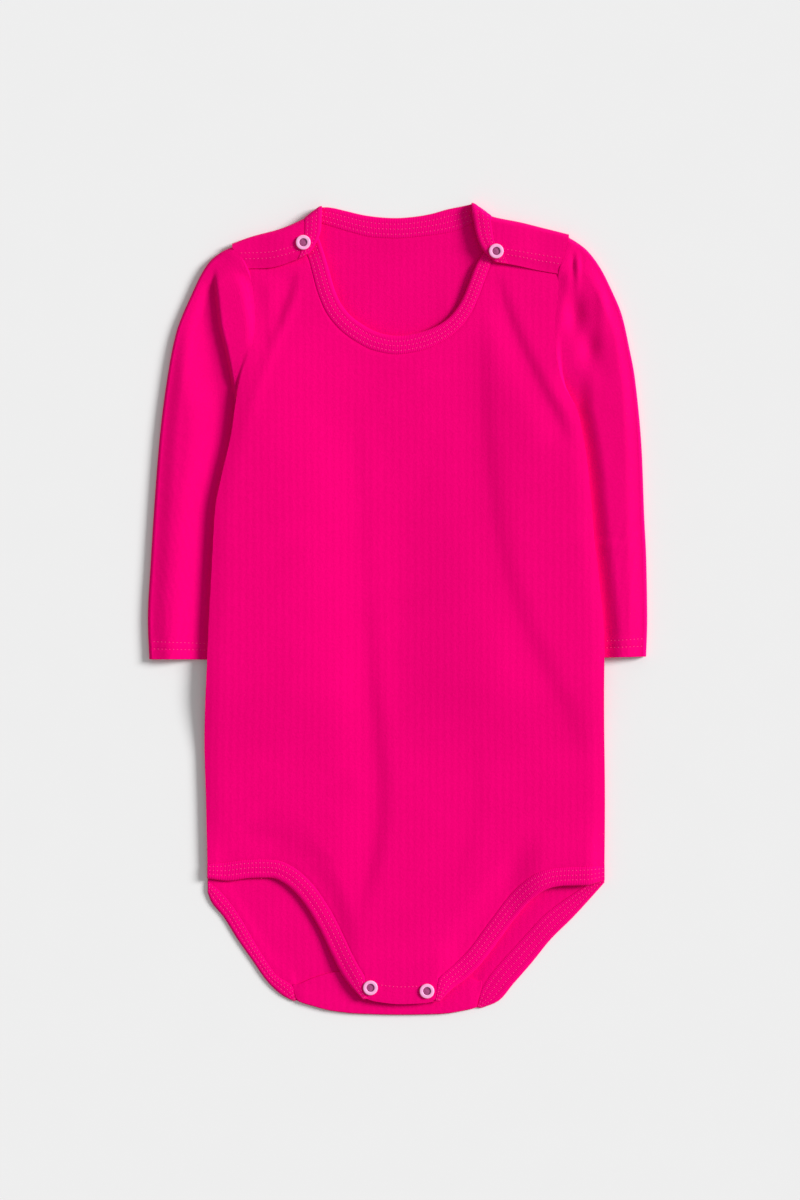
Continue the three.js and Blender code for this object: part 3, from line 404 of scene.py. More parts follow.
def flap_height(x: np.ndarray) -> np.ndarray:
    """Middle surface of the shoulder flaps."""
    return mix(FLAP_NECK, FLAP_ARM, ease(*FLAP_SLOPE, np.abs(x)))


class Crease(NamedTuple):
    """A short soft crease from one point to another."""

    x0: float
    y0: float
    x1: float
    y1: float
    width: float
    height: float


class Relief(NamedTuple):
    """A long soft trough or ridge through several points, wider on the lit side."""

    width: float
    height: float
    path: Pairs
    spread: float = 2.6


# Folds: the front's follow the photograph, the back's are guessed
FRONT_RELIEFS = (
    Relief(6.0, -0.55, ((-25, 112), (-22, 60), (-19, 6), (-16, -40))),
    Relief(4.9, -1.25, (
        (-19, 16), (-16.4, -32), (-13.2, -66), (-11, -97), (-12.6, -119),
        (-17.6, -141), (-24, -168),
    )),
    Relief(6.4, -1.05, (
        (39.5, 188), (40.3, 161), (41.2, 131), (42.4, 97), (45.5, 65),
        (49.5, 36), (55, 14), (62, -7), (72, -28), (82, -48), (91, -72),
        (97, -94),
    )),
    Relief(3.6, -1.3, (
        (47.5, 186), (55.6, 155), (65, 132), (75, 112), (84, 95),
        (89.5, 80),
    )),
    Relief(3.0, -1.0, ((-54.5, 180), (-56.4, 168), (-61, 154), (-66, 140))),
    Relief(3.6, -0.7, ((-72.5, 172), (-71, 152), (-68.5, 132))),
    Relief(3.0, 0.4, ((-50, 170), (-58, 152), (-66, 132), (-82, 86)), 1),
    Relief(3.6, -0.4, ((-88, -121), (-67, -103), (-36, -92), (-20, -89))),
    Relief(3.0, -0.35, ((-86, -112), (-70, -117), (-54, -118))),
    Relief(6.0, -0.35, ((36, -62), (38, -100), (26, -148))),
    Relief(1.2, -0.3, ((-46, -129), (-40, -128), (-34, -128.4))),
    Relief(1.3, 0.14, ((-10, 118), (20, 119.5), (62, 118)), 1),
)
BACK_CREASES = (
    Crease(-60, -96, -22, -120, 4.5, 0.7), Crease(62, -70, 20, -118, 5.0, 0.6),
    Crease(-40, 150, -12, 60, 6.5, 0.7), Crease(30, 172, 18, 96, 6.0, 0.6),
    Crease(60, 60, 36, -20, 6.5, 0.6), Crease(-50, 20, -36, -52, 6.0, 0.7),
    Crease(-20, -150, 14, -166, 3.0, 0.5),
)
RELIEF_STEPS = 5
RELIEF_ENDS = 0.25
BESIDE_SHARE = 0.2
BESIDE_WIDTH = 2.4
CREASE_ENDS = 0.3


def relief_height(reliefs: Sequence[Relief], x: np.ndarray, y: np.ndarray) -> np.ndarray:
    """Height of long troughs and ridges, with the cloth a little raised or sunk beside them."""
    total = np.zeros(np.broadcast(x, y).shape)
    for row in reliefs:
        path = smooth_rows(np.array(row.path, float), RELIEF_STEPS)
        best = np.full(total.shape, np.inf)
        place = np.zeros(total.shape)
        lit = np.zeros(total.shape, bool)
        count = len(path) - 1
        for k in range(count):
            step = path[k + 1] - path[k]
            t = ((x - path[k, 0]) * step[0] + (y - path[k, 1]) * step[1]) / (step @ step)
            t = np.clip(t, 0, 1)
            away = np.hypot(x - path[k, 0] - t * step[0], y - path[k, 1] - t * step[1])
            turn = step[0] * (y - path[k, 1]) - step[1] * (x - path[k, 0])
            place = np.where(away < best, (k + t) / count, place)
            lit = np.where(away < best, turn < 0, lit)
            best = np.minimum(best, away)
        ends = ease(0, RELIEF_ENDS, place) * (1 - ease(1 - RELIEF_ENDS, 1, place))
        best = best / np.where(lit, row.spread, 1)
        shape = bell(best, row.width) - BESIDE_SHARE * bell(best, row.width * BESIDE_WIDTH)
        total = total + row.height * ends * shape
    return total


def crease_height(creases: Sequence[Crease], x: np.ndarray, y: np.ndarray) -> np.ndarray:
    """Height of short creases, which fade at their ends."""
    total = np.zeros(np.broadcast(x, y).shape)
    for row in creases:
        dx, dy = row.x1 - row.x0, row.y1 - row.y0
        length = math.hypot(dx, dy)
        along = ((x - row.x0) * dx + (y - row.y0) * dy) / length
        across = ((x - row.x0) * dy - (y - row.y0) * dx) / length
        begun = ease(-row.width, length * CREASE_ENDS, along)
        fade = begun * (1 - ease(length * (1 - CREASE_ENDS), length + row.width, along))
        total = total + row.height * fade * bell(across, row.width)
    return total


def front_looks(x: np.ndarray, y: np.ndarray) -> np.ndarray:
    """Middle surface of the front with its folds, its seams' grooves and its droop at the legs."""
    inside = ease(0, SIDE_ROUND, from_side(x, y))
    held = ease(*FOLDS_END_UP, y) * ease(*FOLDS_END_ACROSS, np.abs(x))
    folds = relief_height(FRONT_RELIEFS, x, y)
    folds = FOLD_SHARE * folds * (mix(1, inside, side_seam(y)) * (1 - held))
    seam = np.minimum(y - front_bottom(x), front_top(x) - y)
    armhole = from_side(x, y) + PAST_REACH * side_seam(y)
    groove = GROOVE_DEPTH * bell(seam, GROOVE_WIDTH) + SEAM_DIP * bell(armhole, ARMHOLE_REACH)
    tucked = FLAP_TUCK * ease(*UNDER_FLAP_UP, y) * (1 - ease(*FLAP_TUCK_END, y))
    tucked = tucked * ease(*UNDER_FLAP_ACROSS, np.abs(x))
    leg = 1 - ease(*LEG_DROOP_UP, y - front_bottom(x))
    leg = leg * ease(*LEG_DROOP_ACROSS, np.abs(x)) * inside * (1 - RIGHT_LEG_LIFT * ease(*RIGHT_LEG, x))
    return front_height(x, y) + folds - groove + tucked - LEG_DROOP * leg


def back_looks(x: np.ndarray, y: np.ndarray) -> np.ndarray:
    """Middle surface of the back, which its creases lift off the surface it lies on."""
    return back_height(x, y) + crease_height(BACK_CREASES, x, y)


def flap_looks(x: np.ndarray, y: np.ndarray) -> np.ndarray:
    """Middle surface of the flaps, which bend down a little at their lower edges."""
    low = np.where(x < 0, flap_left_low(x), flap_right_low(x))
    arm = np.where(x < 0, x - left_edge(y), right_edge(y) - x)
    droop = FLAP_DROOP * (1 - ease(*FLAP_DROOP_UP, y - low)) * ease(*FLAP_DROOP_ACROSS, np.abs(x))
    return flap_height(x) - droop - SEAM_DIP * bell(arm, ARMHOLE_REACH)


class Home:
    """Where the garment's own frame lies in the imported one."""

    shift = np.zeros(3)

    @classmethod
    def metres(cls, places: Sequence[float] | np.ndarray) -> np.ndarray:
        """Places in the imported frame, in metres."""
        return (np.asarray(places) + cls.shift) * MM


class Cloth:
    """The middle surface of one piece of cloth, as welded grids, and the wall round it."""

    def __init__(self) -> None:
        """Starts with no points."""
        self.points: list[np.ndarray] = []
        self.flat: list[np.ndarray] = []
        self.halves: list[np.ndarray] = []
        self.quads: list[np.ndarray] = []
        self.count = 0

    def grid(
        self,
        points: np.ndarray,
        flat: np.ndarray,
        half: np.ndarray | float,
        first: np.ndarray | None = None,
        closed: bool = False,
    ) -> np.ndarray:
        """Adds a grid of points.

        Args:
            points: rows by columns by 3.
            flat: where each point lies on the flat cloth, rows by columns by 2.
            half: half the wall's thickness, one number or a grid.
            first: ids of points already there that are this grid's first row.
            closed: whether the last column joins the first.

        Returns:
            The ids of the grid's points.
        """
        rows, columns = points.shape[:2]
        skip = 0 if first is None else 1
        fresh = np.arange((rows - skip) * columns).reshape(rows - skip, columns) + self.count
        ids = fresh if first is None else np.concatenate([first[None, :], fresh])
        half_grid = np.broadcast_to(np.asarray(half, float), (rows, columns))
        self.points.append(points[skip:].reshape(-1, 3))
        self.flat.append(flat[skip:].reshape(-1, 2))
        self.halves.append(half_grid[skip:].reshape(-1))
        self.count += fresh.size
        near = ids[:-1] if closed else ids[:-1, :-1]
        far = ids[1:] if closed else ids[1:, :-1]
        near_next = np.roll(ids, -1, 1)[:-1] if closed else ids[:-1, 1:]
        far_next = np.roll(ids, -1, 1)[1:] if closed else ids[1:, 1:]
        quads = np.stack([near, near_next, far_next, far], axis=-1).reshape(-1, 4)
        self.quads.append(quads)
        return ids

    def normals(self) -> np.ndarray:
        """The middle surface's normal at each point."""
        points = np.concatenate(self.points)
        quads = np.concatenate(self.quads)
        diagonal = points[quads[:, 2]] - points[quads[:, 0]]
        other = points[quads[:, 3]] - points[quads[:, 1]]
        face = np.cross(diagonal, other)
        total = np.zeros_like(points)
        for corner in range(4):
            np.add.at(total, quads[:, corner], face)
        return unit(total)

    def make(self, name: str, proud: float = 0.08) -> bpy.types.Object:
        """Builds the wall, with a rounded rim along each free edge.

        Args:
            name: the piece's name.
            proud: how far the middle of a rim stands out past the edge.

        Returns:
            The finished mesh object, in metres.
        """
        points = np.concatenate(self.points)
        flat = np.concatenate(self.flat)
        halves = np.concatenate(self.halves)[:, None]
        quads = np.concatenate(self.quads)
        normals = self.normals()
        edges = np.concatenate([quads[:, [k, (k + 1) % 4]] for k in range(4)])
        keys = edges[:, 0] * self.count + edges[:, 1]
        back = edges[:, 1] * self.count + edges[:, 0]
        rim = edges[~np.isin(keys, back)]
        along = unit(points[rim[:, 1]] - points[rim[:, 0]])
        out = np.zeros_like(points)
        for corner in range(2):
            np.add.at(out, rim[:, corner], np.cross(along, normals[rim[:, corner]]))
        edge_ids = np.unique(rim)
        middle = points[edge_ids] + unit(out[edge_ids]) * proud
        middle_id = np.full(self.count, -1)
        middle_id[edge_ids] = 2 * self.count + np.arange(len(edge_ids))
        sink = np.zeros((self.count, 1))
        sink[edge_ids] = proud
        over = points + normals * halves - unit(out) * sink
        under = points - normals * halves - unit(out) * sink
        a, b = rim[:, 0], rim[:, 1]
        low = self.count
        faces = np.concatenate([
            quads,
            quads[:, ::-1] + low,
            np.stack([a, middle_id[a], middle_id[b], b], axis=-1),
            np.stack([middle_id[a], a + low, b + low, middle_id[b]], axis=-1),
        ])
        places = np.concatenate([over, under, middle])
        places[:, 2] = np.maximum(places[:, 2], 0)
        spots = np.concatenate([flat, flat, flat[edge_ids]])
        return mesh_object(name, places, faces, spots, np.concatenate([rim, rim + low]))


def mesh_object(
    name: str,
    places: np.ndarray,
    faces: np.ndarray | list,
    flat: np.ndarray | None = None,
    creased: np.ndarray | None = None,
) -> bpy.types.Object:
    """Makes a smooth mesh object, facing outwards.

    Args:
        name: the object's name.
        places: its points in millimetres, in the garment's own frame.
        faces: the points of each face.
        flat: where each point lies on the flat cloth, in millimetres, for its UV map.
        creased: pairs of points whose edges aren't shaded round.

    Returns:
        The object, at the origin, with its mesh in metres.
    """
    mesh = bpy.data.meshes.new(name)
    polygons = faces if isinstance(faces, list) else faces.tolist()
    mesh.from_pydata(Home.metres(places).tolist(), [], polygons)
    if flat is not None:
        layer = mesh.uv_layers.new(name="cloth")
        corner = np.empty(len(mesh.loops), np.int32)
        mesh.loops.foreach_get("vertex_index", corner)
        layer.data.foreach_set("uv", (flat[corner] * MM).astype(np.float32).ravel())
    mesh.polygons.foreach_set("use_smooth", np.ones(len(mesh.polygons), bool))
    mesh.validate()
    mesh.update()
    face_out(mesh)
    if creased is not None:
        mark_sharp(mesh, creased)
    piece = bpy.data.objects.new(name, mesh)
    bpy.context.scene.collection.objects.link(piece)
    return piece


def mark_sharp(mesh: bpy.types.Mesh, pairs: np.ndarray) -> None:
    """Marks the edges between pairs of points as sharp."""
    ends = np.empty(2 * len(mesh.edges), np.int64)
    mesh.edges.foreach_get("vertices", ends)
    ends = np.sort(ends.reshape(-1, 2), axis=1)
    wanted = np.sort(pairs, axis=1)
    size = len(mesh.vertices)
    sharp = np.isin(ends[:, 0] * size + ends[:, 1], wanted[:, 0] * size + wanted[:, 1])
    layer = mesh.attributes.get("sharp_edge")
    if layer is None:
        layer = mesh.attributes.new("sharp_edge", "BOOLEAN", "EDGE")
    layer.data.foreach_set("value", sharp)
    mesh.update()


def face_out(mesh: bpy.types.Mesh) -> None:
    """Turns a closed mesh's faces outwards."""
    work = bmesh.new()
    work.from_mesh(mesh)
    if work.calc_volume(signed=True) < 0:
        bmesh.ops.reverse_faces(work, faces=work.faces)
    work.to_mesh(mesh)
    work.free()


@dataclass
class Panel:
    """A flat-lying panel between its lower and upper edges, along lines of its cloth."""

    lines: Pairs
    low: Curve
    high: Curve
    height: Surface
    bent: int
    between: int = 4
    rows: int = 150
    points: np.ndarray = field(init=False)

    LENGTH = 310
    EDGE_STEPS = (0.5, 1.0, 1.7, 2.6, 3.8)
    EDGE_LINES = 1.5
    CROWDING = 1.2
    CLEAR = 1.3

    def __post_init__(self) -> None:
        """Works out the points."""
        self.points = self.surface(self.levels())

    def levels(self) -> np.ndarray:
        """Shares of the way up a line for each row, closer together near both ends."""
        even = 1 - (1 - np.linspace(0, 1, self.rows)) ** self.CROWDING
        near = np.array(self.EDGE_STEPS) / self.LENGTH
        clear = near[-1] * self.CLEAR
        keep = even[(even > clear) & (even < 1 - clear)]
        return np.concatenate([[0], near, keep, 1 - near[::-1], [1]])

    def surface(self, levels: np.ndarray) -> np.ndarray:
        """The middle surface.

        Args:
            levels: shares of the way up, one for each row.

        Returns:
            Points, rows by columns by 3.
        """
        last = len(self.lines) - 1
        j = np.linspace(0, last, last * self.between + 1)
        top, bottom = (Through(list(enumerate(ends)))(j) for ends in zip(*self.lines))
        y1 = self.high(top)
        y0 = self.low(bottom)
        t = levels[:, None]
        y = mix(y0, y1, t)
        left = j < last / 2
        lowest, highest = self.side(left, y0), self.side(left, y1)
        curve = self.side(left, y) - mix(lowest, highest, t)
        inwards = np.minimum(j, last - j)
        met = np.clip(1 - inwards / self.EDGE_LINES, 0, 1)
        nearest = np.where(left, 0, -1)
        x0 = bottom + (lowest - bottom)[nearest] * met
        x1 = top + (highest - top)[nearest] * met
        x = mix(x0, x1, t) + curve * np.clip(1 - inwards / self.bent, 0, 1)
        return np.stack([x, y, self.height(x, y)], axis=-1)

    @staticmethod
    def side(left: np.ndarray, y: np.ndarray) -> np.ndarray:
        """X of the left edge where asked for, and else of the right one."""
        return np.where(left, left_edge(y), right_edge(y))

    def edge(self, row: int, first: int, last: int) -> np.ndarray:
        """The panel's own points at its lines, along its lower (0) or upper (-1) edge."""
        return self.points[row, first * self.between : last * self.between + 1 : self.between]


def outwards(edge: np.ndarray, first: np.ndarray | None, last: np.ndarray | None) -> np.ndarray:
    """Outward directions, seen from above, along an edge with its cloth on the left hand.

    Args:
        edge: the points of the edge, in order.
        first: the direction at the first point, if it has one of its own.
        last: the direction at the last point, if it has one of its own.

    Returns:
        A direction for each point.
    """
    after = np.concatenate([edge[1:], edge[-1:]])
    before = np.concatenate([edge[:1], edge[:-1]])
    along = after - before
    out = unit(np.stack([along[:, 1], -along[:, 0], np.zeros(len(edge))], axis=-1))
    if first is not None:
        out[0] = first
    if last is not None:
        out[-1] = last
    return out


class Slot(Enum):
    """Material slots of the record."""

    KNIT = "cotton_knit"
    BINDING = "cotton_binding"
    SNAP = "snap"


class Side(Enum):
    """Left and right as the garment is seen from above."""

    LEFT = "left"
    RIGHT = "right"

    @property
    def sign(self) -> int:
        """-1 on the left and 1 on the right."""
        return -1 if self is Side.LEFT else 1


def add_piece(
    piece: bpy.types.Object, finish: bpy.types.Material, nodes: Sequence[str] = ()
) -> bpy.types.Object:
    """Gives a piece its finish and its place in the frame.

    Args:
        piece: the finished object.
        finish: its material.
        nodes: the solids it stands for.

    Returns:
        The same object.
    """
    piece.data.materials.clear()
    piece.data.materials.append(finish)
    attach(piece, "root")
    if nodes:
        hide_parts(*nodes)
    LOG.info("%s: %d faces", piece.name, len(piece.data.polygons))
    return piece


class FlapEdges(NamedTuple):
    """Edges of one flap: at the armhole, at the neck band and below, with its lower ends' X."""

    arm: Curve
    neck: Curve
    low: Curve
    feet: tuple[float, float]


FLAPS = {
    Side.LEFT: FlapEdges(
        left_edge, Through(FLAP_LEFT_SEAM), flap_left_low, (FLAP_LEFT_LOW[0][0], FLAP_LEFT_LOW[-1][0])
    ),
    Side.RIGHT: FlapEdges(
        right_edge, Through(FLAP_RIGHT_SEAM), flap_right_low,
        (FLAP_RIGHT_LOW[-1][0], FLAP_RIGHT_LOW[0][0]),
    ),
}


@dataclass
class Front:
    """The front panel."""

    bent_lines: int = 5
    crotch_row: tuple[float, float] = (-9.5, 10.5)
    panel: Panel = field(init=False)

    def __post_init__(self) -> None:
        """Lays the panel out."""
        self.panel = Panel(FRONT_LINES, front_bottom, front_top, front_looks, self.bent_lines)

    def crotch_line(self, rise: float) -> np.ndarray:
        """A line on the front's surface, above its crotch end."""
        x = np.linspace(*self.crotch_row, LINE_POINTS)
        y = front_bottom(x) + rise
        return np.stack([x, y, front_looks(x, y) + HALF_CLOTH], axis=-1)

    def build(self) -> bpy.types.Object:
        """Makes the panel's cloth."""
        cloth = Cloth()
        points = self.panel.points
        cloth.grid(points, points[..., :2], HALF_CLOTH)
        return cloth.make("front_cloth")


@dataclass
class Back:
    """The back panel with both shoulder flaps, which turn over in a round fold."""

    bent_lines: int = 4
    fold_steps: int = 6
    flap_steps: int = 4
    between: int = 4
    neck_left: int = 4
    neck_right: int = 14
    corner: float = 10
    fold_back: float = 3
    flap_row: tuple[float, float] = (0.03, 0.97)
    panel: Panel = field(init=False)
    flaps: dict[Side, np.ndarray] = field(init=False)

    def __post_init__(self) -> None:
        """Lays the panel and its flaps out."""
        self.panel = Panel(BACK_LINES, back_bottom, self.top, back_looks, self.bent_lines)
        top = self.panel.points[-1]
        self.flaps = {side: self.flap(self.shoulder(side, top), FLAPS[side]) for side in Side}

    def top(self, x: np.ndarray) -> np.ndarray:
        """Y of the panel's upper edge: its neck seam, and the start of the shoulder folds."""
        neck_end = BACK_LINES[self.neck_right][0]
        corner = ease(neck_end - self.corner, neck_end, np.abs(x))
        radius = (flap_height(x) - back_height(x, shoulder_line(x) - self.fold_back)) / 2
        shoulder = shoulder_line(x) - HALF_CLOTH - radius
        return np.where(np.abs(x) < neck_end, mix(back_neck_seam(x), shoulder, corner), shoulder)

    def shoulder(self, side: Side, row: np.ndarray) -> np.ndarray:
        """The part of the panel's last row that a flap starts from."""
        if side is Side.LEFT:
            return row[: self.neck_left * self.between + 1]
        return row[self.neck_right * self.between :]

    def flap(self, first: np.ndarray, edges: FlapEdges) -> np.ndarray:
        """Rows of a flap, from the back's last row over the fold to its lower edge.

        Args:
            first: the back's last row, along the flap.
            edges: the flap's edges.

        Returns:
            The rows' points.
        """
        x, y, z = first.T
        angle = np.pi * np.linspace(0, 1, self.fold_steps * self.between + 1)[:, None]
        radius = (flap_height(x) - z) / 2
        fold_y = y + radius * np.sin(angle)
        fold_z = z + radius * (1 - np.cos(angle))
        fold = np.stack([np.broadcast_to(x, fold_y.shape), fold_y, fold_z], axis=-1)
        arm = edges.arm(y)
        share = np.clip((x - arm) / (edges.neck(y) - arm), 0, 1)
        t = np.linspace(0, 1, self.flap_steps * self.between + 1)[1:, None]
        flap_y = mix(y, edges.low(mix(*edges.feet, share)), t)
        flap_x = mix(edges.arm(flap_y), edges.neck(flap_y), share)
        flap_z = flap_looks(flap_x, flap_y)
        return np.concatenate([fold, np.stack([flap_x, flap_y, flap_z], axis=-1)])

    def flap_line(self, side: Side, rise: float) -> np.ndarray:
        """A line on a flap's upper surface, above its lower edge.

        Args:
            side: which flap.
            rise: how far above the lower edge.

        Returns:
            The line's points.
        """
        edges = FLAPS[side]
        share = np.linspace(*self.flap_row, LINE_POINTS)
        y = edges.low(mix(*edges.feet, share)) + rise
        x = mix(edges.arm(y), edges.neck(y), share)
        return np.stack([x, y, flap_looks(x, y) + HALF_CLOTH], axis=-1)

    def build(self) -> bpy.types.Object:
        """Makes the panel's cloth and the flaps'."""
        cloth = Cloth()
        points = self.panel.points
        ids = cloth.grid(points, points[..., :2], HALF_CLOTH)
        for side, rows in self.flaps.items():
            step = np.linalg.norm(np.diff(rows, axis=0), axis=-1)
            run = np.concatenate([np.zeros((1, rows.shape[1])), np.cumsum(step, axis=0)])
            flat = np.stack([rows[..., 0], rows[0, :, 1] + run], axis=-1)
            cloth.grid(rows, flat, HALF_CLOTH, first=self.shoulder(side, ids[-1]))
        return cloth.make("back_cloth")


class Station(NamedTuple):
    """A place across a band, from its seam at 0 to its free edge at 1."""

    share: float
    half: float


BAND_STATIONS = (
    Station(0, 0.5), Station(0.05, 0.64), Station(0.13, 0.76), Station(0.2, 0.66),
    Station(0.27, 0.78), Station(0.4, 0.8), Station(0.52, 0.8), Station(0.63, 0.78),
    Station(0.7, 0.66), Station(0.77, 0.78), Station(0.86, 0.74), Station(0.94, 0.6),
    Station(1, 0.36),
)
BAND_SHARES, BAND_HALVES = (np.array(column) for column in zip(*BAND_STATIONS))


@dataclass
class Band:
    """A doubled strip of cloth along an edge, with a trough under each row of stitches."""

    name: str
    node: str
    seams: np.ndarray
    frees: np.ndarray
    height: Surface | None = None
    thin: int = -1
    rows: np.ndarray = field(init=False)

    THIN_SHARE = 0.62
    THIN_REACH = 7
    PROUD = 0.16

    def __post_init__(self) -> None:
        """Lays the rows out between the seam and the free edge."""
        self.rows = self.place(mix(self.seams, self.frees, BAND_SHARES[:, None, None]))

    def place(self, points: np.ndarray) -> np.ndarray:
        """Lays points onto the height that the band follows, if it follows one."""
        if self.height is not None:
            points = points.copy()
            points[..., 2] = self.height(points[..., 0], points[..., 1])
        return points

    def line(self, share: float) -> np.ndarray:
        """The middle surface's line at a share of the way to the free edge."""
        return self.place(mix(self.seams, self.frees, share))

    def run(self) -> np.ndarray:
        """Distance along the band at each of its places."""
        step = np.linalg.norm(np.diff(self.line(0.5), axis=0), axis=-1)
        return np.concatenate([[0], np.cumsum(step)])

    def thinning(self) -> np.ndarray:
        """Share of the full thickness at each place along the band."""
        run = self.run()
        from_end = np.abs(run - self.thin * run[-1])
        return mix(self.THIN_SHARE, 1, ease(0, self.THIN_REACH, from_end))

    def top(self, share: float) -> np.ndarray:
        """The upper surface's line at a share of the way to the free edge."""
        line = self.line(share)
        line[:, 2] += np.interp(share, BAND_SHARES, BAND_HALVES) * self.thinning()
        return line

    def build(self) -> bpy.types.Object:
        """Makes the band's cloth."""
        cloth = Cloth()
        run = self.run()
        width = np.linalg.norm(self.frees - self.seams, axis=-1)
        across = BAND_SHARES[:, None] * width
        flat = np.stack([np.broadcast_to(run, across.shape), across], axis=-1)
        cloth.grid(self.rows, flat, BAND_HALVES[:, None] * self.thinning())
        return cloth.make(self.name, proud=self.PROUD)


def edge_band(
    name: str,
    panel: Panel,
    row: int,
    lines: tuple[int, int],
    widths: np.ndarray,
    ends: tuple[np.ndarray | None, np.ndarray | None] = (None, None),
    turned: bool = False,
    thin: int = -1,
) -> Band:
    """Band along a panel's lower or upper edge, in the panel's own surface.

    Args:
        name: the solid it stands for.
        panel: the panel that it is sewn to.
        row: 0 for the panel's lower edge and -1 for its upper one.
        lines: first and last line of the panel's cloth along the band.
        widths: the band's width at each of the panel's lines, in the order it runs.
        ends: outward directions at the band's ends, where they have their own.
        turned: whether the band runs from the last line to the first.
        thin: the end where the band grows thin, 0 for its first and 1 for its last.

    Returns:
        The band.
    """
    coarse = panel.edge(row, *lines)
    first, last = (line * panel.between for line in lines)
    fine = panel.points[row, first : last + 1]
    if turned:
        coarse, fine = coarse[::-1], fine[::-1]
    seams = fine + outwards(fine, *ends) * SEAM_GAP
    frees = smooth_rows(coarse + outwards(coarse, *ends) * widths[:, None], panel.between)
    return Band(f"{name}_strip", name, seams, frees, panel.height, thin)


@dataclass
class LegBand:
    """Sizes of one leg band: its first line, which end is at the crotch, and its widths."""

    piece: str
    first: int
    crotch_last: bool
    widths: tuple[float, ...]


SQUARE_TO_SIDE = np.array([0.0, -1.0, 0.0])
FRONT_LEG_BANDS = (
    LegBand("leg_binding_front_left", 0, True, (7.6, *[9.6] * 11, 2.2)),
    LegBand("leg_binding_front_right", 16, False, (2.2, *[9.6] * 10, 7.6)),
)
BACK_LEG_BANDS = (
    LegBand("leg_binding_back_left", 0, True, (6, 7, 7, 7, 5.8, 5.8, 7, 1.6)),
    LegBand("leg_binding_back_right", 12, False, (2.2, 10.4, 12.2, 12, 11.1, 10.2, 6.3)),
)


def leg_band(panel: Panel, plan: LegBand) -> Band:
    """Lays out one leg band."""
    lines = (plan.first, plan.first + len(plan.widths) - 1)
    ends = (SQUARE_TO_SIDE, None) if plan.crotch_last else (None, SQUARE_TO_SIDE)
    return edge_band(
        plan.piece, panel, 0, lines, np.array(plan.widths), ends, thin=int(plan.crotch_last)
    )


# Width of the front's neck band, by X
FRONT_NECK_WIDTHS = ((-50, 8.6), (0, 9.6), (36, 7.6), (50, 6.6))
FRONT_NECK_LINES = (5, 22)


def front_neck_band(front: Front) -> Band:
    """Lays out the neck band of the front."""
    widths = Through(FRONT_NECK_WIDTHS)(front.panel.edge(-1, *FRONT_NECK_LINES)[::-1, 0])
    return edge_band(
        "neck_binding_front", front.panel, -1, FRONT_NECK_LINES, widths, turned=True
    )


LEFT_FOLD_REACH = np.array([8.8, 6.7, 0.0])
RIGHT_FOLD_REACH = np.array([-10.1, 7.3, 0.0])
FOLD_TIP_PULL = 0.85
NECK_BACK_NARROWING = 0.95


def flap_band_frees(rows: np.ndarray, folds: int, free: Pairs, reach: np.ndarray) -> np.ndarray:
    """Free edge of the neck band along one flap's seam.

    Args:
        rows: the flap's points along that seam, one for each coarse row.
        folds: how many of the rows are the fold's.
        free: the table of the free edge.
        reach: from the seam to the free edge in the fold.

    Returns:
        The free edge's points.
    """
    first, lowest = rows[0], rows[-1]
    frees = rows + reach
    tip = frees[:folds, 1].max()
    frees[:folds, 1] = mix(frees[:folds, 1], tip, np.linspace(FOLD_TIP_PULL, 0, folds))
    t = (rows[folds:, 1] - lowest[1]) / (first[1] - lowest[1])
    y = mix(free[0][0], first[1] + reach[1], t)
    frees[folds:] = np.stack([Through(free)(y), y, rows[folds:, 2]], axis=-1)
    return frees


def back_neck_band(back: Back) -> Band:
    """Lays out the neck band that runs from one flap round the back to the other."""
    step = back.between
    folds = back.fold_steps + 1
    left = back.flaps[Side.LEFT][:, -1]
    right = back.flaps[Side.RIGHT][:, 0]
    middle = back.panel.points[-1, back.neck_left * step : back.neck_right * step + 1][1:-1]
    gap_x = np.array([SEAM_GAP, 0.0, 0.0])
    gap_y = np.array([0.0, SEAM_GAP, 0.0])
    count = len(middle)
    from_end = np.minimum(np.arange(count) + 1, count - np.arange(count))
    turn = ease(0, 1, from_end / step)[:, None]
    middle_gap = np.sign(-middle[:, :1]) * gap_x * (1 - turn) + gap_y * turn
    seams = np.concatenate([left[::-1] + gap_x, middle + middle_gap, right - gap_x])
    coarse_left = flap_band_frees(left[::step], folds, FLAP_LEFT_FREE, LEFT_FOLD_REACH)
    coarse_right = flap_band_frees(right[::step], folds, FLAP_RIGHT_FREE, RIGHT_FOLD_REACH)
    x = middle[step - 1 :: step, 0] * NECK_BACK_NARROWING
    coarse_middle = np.stack([x, back_neckline(x), np.full(len(x), BAND_HALF)], axis=-1)
    frees = smooth_rows(np.concatenate([coarse_left[::-1], coarse_middle, coarse_right]), step)
    return Band("neck_binding_back_strip", "neck_binding_back", seams, frees)


